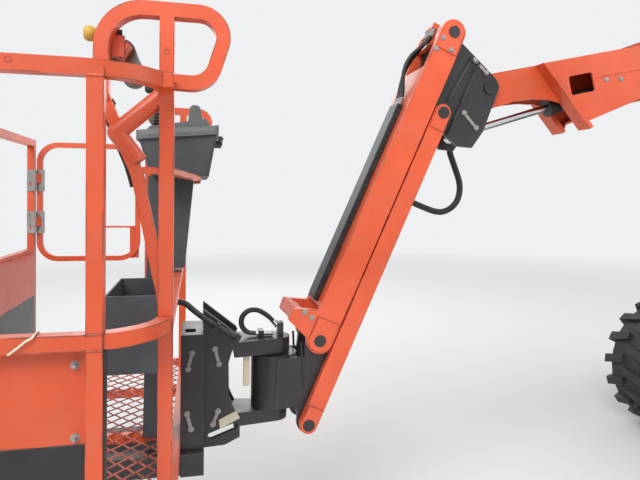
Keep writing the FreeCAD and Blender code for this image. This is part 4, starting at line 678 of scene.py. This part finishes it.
class LIFT_OT_platform_fittings(bpy.types.Operator):
    """Fit the panel bolts, gate hinges, plates, knob and ties of the platform, a dark strip of painted shade on a
    post's side and dark discs of painted shade in the holes
    """
    bl_idname = "boom_lift.platform_fittings"
    bl_label = "Platform fittings"

    def execute(self, context):
        sizes = context.scene.lift_sizes
        self.panel_bolts(sizes.panel_bolt)
        for low, high, tail in ((1.5132, 1.6173, "top"), (1.3088, 1.4161, "low")):
            self.hinge(low, high, tail, sizes.small_bolt)
        corners = [(2.2809, 0.7137), (2.2218, 0.7413), (2.2076, 0.7152), (2.2771, 0.6815)]
        piece("blank_label", flat_plate([(x, 0.0838, z) for x, z in corners], Y_AXIS, 0.0016), "platform",
              FINISH["label"])
        plate = [(2.5646, 1.8673), (2.5266, 1.8701), (2.5264, 1.8278), (2.5645, 1.8252)]
        for side, tail in BOTH_SIDES:
            y = min(side * 0.7360, side * 0.7410)
            parts = [flat_plate([(x, y, z) for x, z in plate], Y_AXIS, 0.005),
                     hex_bolt((2.5456, side * 0.7408, 1.8509), (0, side, 0), 0.012, False)]
            piece("sleeve_end_plate_" + tail, parts, "platform", FINISH["black"], bevel=0.001)
        dome = [(TIP, -0.0175), (0.0090, -0.0150), (0.0152, -0.0088), (0.0175, 0.0), (0.0165, 0.0070),
                (0.0120, 0.0125), (TIP, 0.0140)]
        piece("post_knob", turned_part(dome, (2.5945, 0.7360, 1.8580), X_AXIS, 24), "platform",
              FINISH["knob"])
        # Painted shade: a black sheet over the post's side face below the mid rail, darkening that face as if it
        # were in shade.
        piece("post_side_shade_strip", block(2.5337, 2.5379, 0.889, 0.915, 0.660, 1.200), "platform",
              FINISH["hose"], bevel=0.001)
        # Painted shade: a dark dished disc sunk in each hole stands for the shade inside the hole.
        hole_shade_disc = [(TIP, -0.003), (0.0062, -0.003), (0.0062, 0.0004), (0.0054, 0.0004), (0.0044, -0.002),
                   (TIP, -0.0024)]
        for name, place in (("rail_hole", (2.7045, 0.9170, 1.7515)), ("hoop_hole", (2.4287, 0.7790, 1.8183)),
                            ("strut_hole", (2.5442, 0.7600, 1.6982))):
            piece(name, turned_part(hole_shade_disc, place, Y_AXIS, 18), "platform", FINISH["hose"])
        self.ties()
        return {"FINISHED"}

    def panel_bolts(self, size):
        """Bolts through the side panel, with the ends of their threads, and those of the end panel."""
        thread = [(TIP, 0.004), (0.0045, 0.004), (0.0045, 0.0135), (0.0035, 0.015), (TIP, 0.015)]
        rows = (1.1672, 1.0222)
        bolts = []
        for x in (2.5941, 3.0640):
            for z in rows:
                bolts += [hex_bolt((x, 0.8838, z), Y_AXIS, size),
                          turned_part(thread, (x, 0.8838, z), Y_AXIS, 12)]
        bolts += [hex_bolt((3.1336, y, z), X_AXIS, size) for y in (-0.80, 0.74) for z in rows]
        piece("panel_bolts", bolts, "platform", FINISH["zinc"])

    def hinge(self, low, high, tail, size):
        """One hinge of the gate: a bolted leaf on the gate, one on its post, and a barrel of three rings."""
        height = high - low
        for name, body, x0, x1, y0, y1 in (("gate", "gate", 3.0885, 3.1235, -0.8892, -0.8842),
                                           ("post", "platform", 3.1368, 3.1664, -0.8852, -0.8802)):
            parts = [block(x0, x1, y0, y1, low, high)]
            for across, up in ((0.2, 0.16), (0.8, 0.38), (0.2, 0.62), (0.8, 0.84)):
                at = (x0 + 0.004 + across * (x1 - x0 - 0.008), y1 - 0.0003, low + up * height)
                parts.append(hex_bolt(at, Y_AXIS, size))
            piece("hinge_leaf_%s_%s" % (name, tail), parts, body, FINISH["zinc"])
        rings = []
        for k in range(3):
            z0, z1 = low + height * k / 3 + 0.0008, low + height * (k + 1) / 3 - 0.0008
            profile = [(TIP, z0), (0.0108, z0), (0.0118, z0 + 0.001), (0.0118, z1 - 0.001), (0.0108, z1),
                       (TIP, z1)]
            rings.append(turned_part(profile, (GATE_PIN.x, GATE_PIN.y, 0.0), Z_AXIS, 24))
        piece("hinge_barrel_" + tail, rings, "gate", FINISH["zinc"])

    def ties(self):
        """Two straps and the clipped cable on the strut, and the pale tie over the side rail."""
        bands = [square_band((x, 0.747, z), 0.0142, 0.0035, 0.39)
                 for x, z in ((2.5560, 1.7040), (2.4940, 1.5550))]
        piece("strut_ties", bands, "platform", FINISH["hose"])
        clipped = [(2.5652, 1.6835), (2.5480, 1.6420), (2.5307, 1.6005), (2.5134, 1.5590), (2.5040, 1.5200)]
        hose_curve("clipped_cable", [(x, 0.751, z) for x, z in clipped], 0.007, "platform",
                   FINISH["hose"])
        loop = [(2.6600, 0.9215, 1.2360), (2.6606, 0.9010, 1.2366), (2.6612, 0.8822, 1.2350),
                (2.6612, 0.8812, 1.2170), (2.6612, 0.8822, 1.1990)]
        tail = [(2.6600, 0.9200, 1.2362), (2.6620, 0.9222, 1.2330), (2.6740, 0.9230, 1.2262),
                (2.6860, 0.9235, 1.2160), (2.7035, 0.9230, 1.2026)]
        piece("cream_tie", [carried_tube(path, 0.0022) for path in (loop, tail)], "platform",
              FINISH["label"])


class LIFT_OT_sleeves(bpy.types.Operator):
    """Pull the padded foam sleeves over the bars at the guard hoops"""
    bl_idname = "boom_lift.sleeves"
    bl_label = "Padded sleeves"

    def execute(self, context):
        low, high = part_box("padded_bar")
        radius = (high.z - low.z) / 2
        centre = ((low.x + high.x) / 2, (low.z + high.z) / 2)
        rng = np.random.default_rng(11)
        parts = [self.sleeve(centre, y0, y1, radius, rng)
                 for y0, y1 in ((SLEEVE_INNER, high.y), (low.y, -SLEEVE_INNER))]
        sleeves = piece("padded_sleeves", parts, "platform", FINISH["foam"], replaces=["padded_bar"])
        return {"FINISHED"}

    def sleeve(self, centre, y0, y1, radius, rng, rows=96, sides=56):
        """Foam round a bar: radius times a rounded end, less a lengthwise seam and creases across it."""
        along = np.linspace(0.0, 1.0, rows)[:, None]
        angle = around(sides)[None, :]
        from_end = np.minimum(along, 1 - along) * (y1 - y0)
        ends = np.sqrt(np.clip(1 - (1 - np.clip(from_end / 0.012, 0, 1)) ** 2, 0, 1))
        reach = radius * (0.80 + 0.20 * ends)
        seam = 0.0016 * np.exp(-((np.angle(np.exp(1j * (angle - 0.9)))) / 0.07) ** 2)
        creases = np.zeros((rows, sides))
        for _ in range(9):
            at, lean, depth = rng.uniform(0.05, 0.95), rng.uniform(-0.02, 0.02), rng.uniform(0.0004, 0.0013)
            where = rng.uniform(0, 2 * math.pi)
            creases += depth * np.exp(-((along - at - lean * np.sin(angle)) / 0.018) ** 2) * \
                (0.5 + 0.5 * np.cos(angle - where))
        sag = 0.0006 * np.sin(along * 9 + angle * 2) * ends
        reach = reach - seam * ends - creases * ends + sag - 0.0008
        x = centre[0] + reach * np.cos(angle)
        z = centre[1] + reach * np.sin(angle)
        rings = np.stack([x, np.broadcast_to(y0 + along * (y1 - y0), x.shape), z], 2)
        caps = []
        for k, end in ((0, y0), (-1, y1)):
            middle = (centre[0], end, centre[1])
            caps.append(np.broadcast_to(middle, (1, sides, 3)) + (rings[k] - middle) * 1e-4)
        points = np.concatenate([caps[0], rings, caps[1]])
        return points.reshape(-1, 3), grid_faces(rows + 2, sides)


class LIFT_OT_joystick(bpy.types.Operator):
    """Stand the joystick on the console's lid: bellows boot, bright collar and grip"""
    bl_idname = "boom_lift.joystick"
    bl_label = "Joystick"

    def execute(self, context):
        x, y, base = 2.4900, 0.100, 1.7180
        folds = [(0.030, 0.0), (0.030, 0.006), (0.0255, 0.009)]
        for k in range(5):
            folds += [(0.0245 - 0.0018 * k, 0.014 + 0.011 * k), (0.0165 - 0.0010 * k, 0.0195 + 0.011 * k)]
        boot = turned_part([(TIP, 0.0)] + folds + [(0.0115, 0.070), (TIP, 0.070)], (x, y, base), Z_AXIS, 28)
        piece("joystick_boot", boot, "console_lid", FINISH["hose"])
        rings = [(TIP, 0.066), (0.0085, 0.066), (0.0105, 0.070), (0.0105, 0.076), (0.0080, 0.079),
                 (0.0080, 0.086), (TIP, 0.086)]
        collar = turned_part(rings, (x + 0.006, y, base), Z_AXIS, 20)
        piece("joystick_collar", collar, "console_lid", FINISH["steel"])
        grip = [soft_block((x + 0.0085, y, 1.8330), (0.0130, 0.0150, 0.0350), 0.0100),
                soft_block((x + 0.0210, y, 1.8640), (0.0240, 0.0170, 0.0200), 0.0110),
                turned_part([(TIP, 0.0), (0.0075, 0.0), (0.0070, 0.0050), (TIP, 0.0060)],
                            (x + 0.020, y, 1.8830), Z_AXIS, 16)]
        piece("joystick_grip", grip, "console_lid", FINISH["hose"])
        return {"FINISHED"}


class LIFT_OT_rotator_fittings(bpy.types.Operator):
    """Fit the couplings and the pale bar at the rotator"""
    bl_idname = "boom_lift.rotator_fittings"
    bl_label = "Rotator fittings"

    def execute(self, context):
        x, base = ROTATOR.x, FOOT_PIN.z + 0.240
        rings = [(0.0086 - 0.0010 * (k % 2), 0.004 + 0.006 * k) for k in range(9)]
        barrel = [(TIP, 0.0), (0.0070, 0.0)] + rings + [(0.0070, 0.064), (TIP, 0.064)]
        parts = [turned_part(barrel, (x + 0.004, y, base + 0.0722), X_AXIS, 20) for y in (0.014, -0.008)]
        for y, rise, lean in ((0.014, 0.098, 41.7), (-0.008, 0.092, 35.7)):
            parts.append(ferrule((x - 0.012, y, base + rise), (34.0, 0.0, lean), 0.011, 0.026))
        piece("loop_couplings", parts, "platform", FINISH["steel"])
        bar = block(x + 0.0945, x + 0.1175, 0.0455, 0.0625, FOOT_PIN.z + 0.1375, base + 0.0095)
        piece("pale_bar", bar, "platform", FINISH["label"], bevel=0.001)
        return {"FINISHED"}


class LIFT_OT_welds(bpy.types.Operator):
    """Lay the weld beads on the fly boom, the rotator housing and the platform's posts"""
    bl_idname = "boom_lift.welds"
    bl_label = "Welds"

    def execute(self, context):
        width = context.scene.lift_sizes.weld
        for side, tail in BOTH_SIDES:
            y = side * 0.0895
            piece("fly_nose_bead_" + tail, weld_bead((0.7831, y, 2.0010), (0.5793, y, 2.0457), width * 0.8),
                  "fly_boom", FINISH["orange"])
            y = side * 0.0875
            piece("housing_bead_" + tail, weld_bead((1.9901, y, 0.9756), (1.9809, y, 0.8107), width),
                  "jib_foot", FINISH["black"])
        beads = [weld_bead((x - 0.016, y, z), (x + 0.016, y, z), width * 0.7) for x in (2.5537, 2.9707)
                 for y in (0.9165, 0.8855) for z in (1.7312, 1.2332, 1.2012)]
        piece("rail_beads", beads, "platform", FINISH["rails"])
        return {"FINISHED"}


class LIFT_OT_wheel_nuts(bpy.types.Operator):
    """Screw the nuts on the wheel hubs"""
    bl_idname = "boom_lift.wheel_nuts"
    bl_label = "Wheel nuts"

    def execute(self, context):
        size = context.scene.lift_sizes.wheel_nut
        count, circle, dish = 10, 0.079, 0.0522
        for name in ("front_left", "front_right", "rear_left", "rear_right"):
            low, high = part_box("rim_" + name)
            side = 1 if low.y > 0 else -1
            hub = PIVOT["roll_" + name]
            face = (low.y + high.y) / 2 + side * ((high.y - low.y) / 2 - dish)
            nuts = [hex_bolt((hub.x + circle * math.cos(a), face, hub.z + circle * math.sin(a)),
                             (0, side, 0), size) for a in around(count)]
            piece("wheel_nuts_" + name, nuts, "wheel_" + name, FINISH["zinc"])
        return {"FINISHED"}


class LIFT_OT_floor_mesh(bpy.types.Operator):
    """Lay the platform's expanded metal floor"""
    bl_idname = "boom_lift.floor_mesh"
    bl_label = "Platform floor"

    def execute(self, context):
        """Each strand zigzags across the floor: a square section carried from turn to turn."""
        low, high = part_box("platform_mesh")
        pitch = context.scene.lift_sizes.mesh_pitch
        strand, lap, margin = 0.0030, 0.0012, 0.002
        rows = int((high.x - low.x) / pitch)
        step = (high.x - low.x) / rows
        turns = 2 * int((high.y - low.y) / (pitch * 2.2)) + 1
        half = (high.z - low.z) / 2 * 0.6
        section = np.array([(-strand, -half), (strand, -half), (strand, half), (-strand, half)])
        y = np.broadcast_to(np.linspace(low.y + margin, high.y - margin, turns)[:, None], (turns, 4))
        ends = [[3, 2, 1, 0], [turns * 4 - 4 + k for k in range(4)]]
        faces = grid_faces(turns, 4).tolist() + ends
        parts = []
        for row in range(rows):
            way = np.where((np.arange(turns) + row) % 2 == 0, -1.0, 1.0)
            x = low.x + step * (row + 0.5) + way * 0.5 * (step - 0.004)
            z = (high.z + low.z) / 2 + way * lap
            ring = np.stack([x[:, None] + section[None, :, 0], y, z[:, None] + section[None, :, 1]], 2)
            parts.append((ring.reshape(-1, 3), faces))
        piece("expanded_floor", parts, "platform", FINISH["mesh"], False, ["platform_mesh"])
        return {"FINISHED"}


class LIFT_OT_stage(bpy.types.Operator):
    """Set the pale floor, the soft light and the camera of the photograph"""
    bl_idname = "boom_lift.stage"
    bl_label = "Stage"

    def execute(self, context):
        scene = context.scene
        self.floor(scene)
        self.light(scene)
        self.camera(scene)
        scene.view_settings.view_transform = "Standard"
        return {"FINISHED"}

    def floor(self, scene):
        """A plain floor that fades with its distance to the background, for the rays that see that."""
        mesh = bpy.data.meshes.new("studio_floor")
        size = FLOOR_REACH
        corners = [(-size, -size, 0), (size, -size, 0), (size, size, 0), (-size, size, 0)]
        mesh.from_pydata(corners, [], [(0, 1, 2, 3)])
        ground = bpy.data.objects.new("studio_floor", mesh)
        scene.collection.objects.link(ground)
        t = Tree("studio floor")
        colour = tuple(scene.lift_colours.studio)
        plain = t.mix(t.noise(0.6, 3.0), toned(colour, 0.985), colour)
        away = t.add("ShaderNodeVectorMath", {"operation": "LENGTH"}, [t.place], "Value")
        seen, *others = [t.add("ShaderNodeLightPath", {}, {}, ray) for ray in SEEN_RAYS]
        for ray in others:
            seen = seen.or_more(ray)
        away = away.between(*FLOOR_FADE) * seen
        black = (0.0, 0.0, 0.0)
        mesh.materials.append(t.finish(t.mix(away, plain, black), 0.95, Emission_Strength=1.0,
                                       Emission_Color=t.mix(away, black, BACKGROUND), Specular_IOR_Level=0.0))

    def light(self, scene):
        """An even pale sky that shows as the background, and three broad lamps."""
        world = bpy.data.worlds.new("overcast")
        scene.world = world
        world.use_nodes = True
        nodes, links = world.node_tree.nodes, world.node_tree.links
        nodes.clear()
        path = nodes.new("ShaderNodeLightPath")
        choose = nodes.new("ShaderNodeMixShader")
        output = nodes.new("ShaderNodeOutputWorld")
        seen = path.outputs[SEEN_RAYS[0]]
        for ray in SEEN_RAYS[1:]:
            either = nodes.new("ShaderNodeMath")
            either.operation = "MAXIMUM"
            links.new(seen, either.inputs[0])
            links.new(path.outputs[ray], either.inputs[1])
            seen = either.outputs[0]
        links.new(seen, choose.inputs[0])
        for socket, colour, strength in ((1, (0.93, 0.96, 1.0), 0.62), (2, BACKGROUND, 1.0)):
            sky = nodes.new("ShaderNodeBackground")
            sky.inputs["Color"].default_value = (*colour, 1.0)
            sky.inputs["Strength"].default_value = strength
            links.new(sky.outputs[0], choose.inputs[socket])
        links.new(choose.outputs[0], output.inputs["Surface"])
        lamps = (
            # name, place, the point it aims at, width, power
            ("key_light", (5.5, 6.0, 7.0), (1.2, 0.0, 1.2), 5.0, 620.0),
            ("fill_light", (-5.0, 3.0, 6.0), (-1.0, 0.0, 1.0), 6.0, 260.0),
            ("back_light", (2.0, -7.0, 5.0), (1.0, 0.0, 1.0), 6.0, 220.0),
        )
        for name, place, aim, size, power in lamps:
            lamp = bpy.data.lights.new(name, "AREA")
            lamp.shape, lamp.size, lamp.energy = "DISK", size, power
            obj = bpy.data.objects.new(name, lamp)
            obj.location = place
            obj.rotation_euler = (Vector(aim) - Vector(place)).to_track_quat("-Z", "Y").to_euler()
            scene.collection.objects.link(obj)

    def camera(self, scene):
        """Yaw, pitch and roll as fitted to the photograph."""
        yaw, pitch, roll = (math.radians(a) for a in (CAMERA_YAW, CAMERA_PITCH, CAMERA_ROLL))
        level = Vector((-math.cos(yaw), -math.sin(yaw), 0.0))
        right = Vector((-math.sin(yaw), math.cos(yaw), 0.0))
        up = Vector((0.0, 0.0, 1.0))
        ahead = level * math.cos(pitch) - up * math.sin(pitch)
        tilted = level * math.sin(pitch) + up * math.cos(pitch)
        side = right * math.cos(roll) - tilted * math.sin(roll)
        head = right * math.sin(roll) + tilted * math.cos(roll)
        lens = bpy.data.cameras.new("photo_camera")
        lens.sensor_width = SENSOR_WIDTH
        lens.lens = SENSOR_WIDTH * FOCAL_PIXELS / IMAGE_WIDTH
        lens.shift_y = (AXIS_ROW - IMAGE_HEIGHT / 2) / IMAGE_WIDTH
        lens.clip_end = 400.0
        camera = bpy.data.objects.new("photo_camera", lens)
        turn = Matrix((side, head, -ahead)).transposed().to_4x4()
        camera.matrix_world = Matrix.Translation(CAMERA_PLACE) @ turn
        scene.collection.objects.link(camera)
        scene.camera = camera


class LIFT_PT_panel(bpy.types.Panel):
    """Lists the boom lift's pieces, sizes and colours"""
    bl_idname = "LIFT_PT_panel"
    bl_label = "Boom Lift"
    bl_space_type = "VIEW_3D"
    bl_region_type = "UI"
    bl_category = "Boom Lift"

    def draw(self, context):
        for group in (context.scene.lift_colours, context.scene.lift_sizes):
            column = self.layout.column()
            for name in type(group).__annotations__:
                column.prop(group, name)
        for operator in OPERATORS:
            self.layout.operator(operator.bl_idname)


OPERATORS = (LIFT_OT_stage, LIFT_OT_finishes, LIFT_OT_hoses, LIFT_OT_keepers, LIFT_OT_platform_fittings,
             LIFT_OT_sleeves, LIFT_OT_joystick, LIFT_OT_rotator_fittings, LIFT_OT_welds, LIFT_OT_wheel_nuts,
             LIFT_OT_floor_mesh)
CLASSES = (LiftColours, LiftSizes, LIFT_PT_panel) + OPERATORS


def register():
    for cls in CLASSES:
        bpy.utils.register_class(cls)
    bpy.types.Scene.lift_colours = bpy.props.PointerProperty(type=LiftColours)
    bpy.types.Scene.lift_sizes = bpy.props.PointerProperty(type=LiftSizes)


def unregister():
    del bpy.types.Scene.lift_sizes
    del bpy.types.Scene.lift_colours
    for cls in reversed(CLASSES):
        bpy.utils.unregister_class(cls)


def main():
    register()
    for operator in OPERATORS:
        group, name = operator.bl_idname.split(".")
        getattr(getattr(bpy.ops, group), name)()


if __name__ == "__main__":
    main()
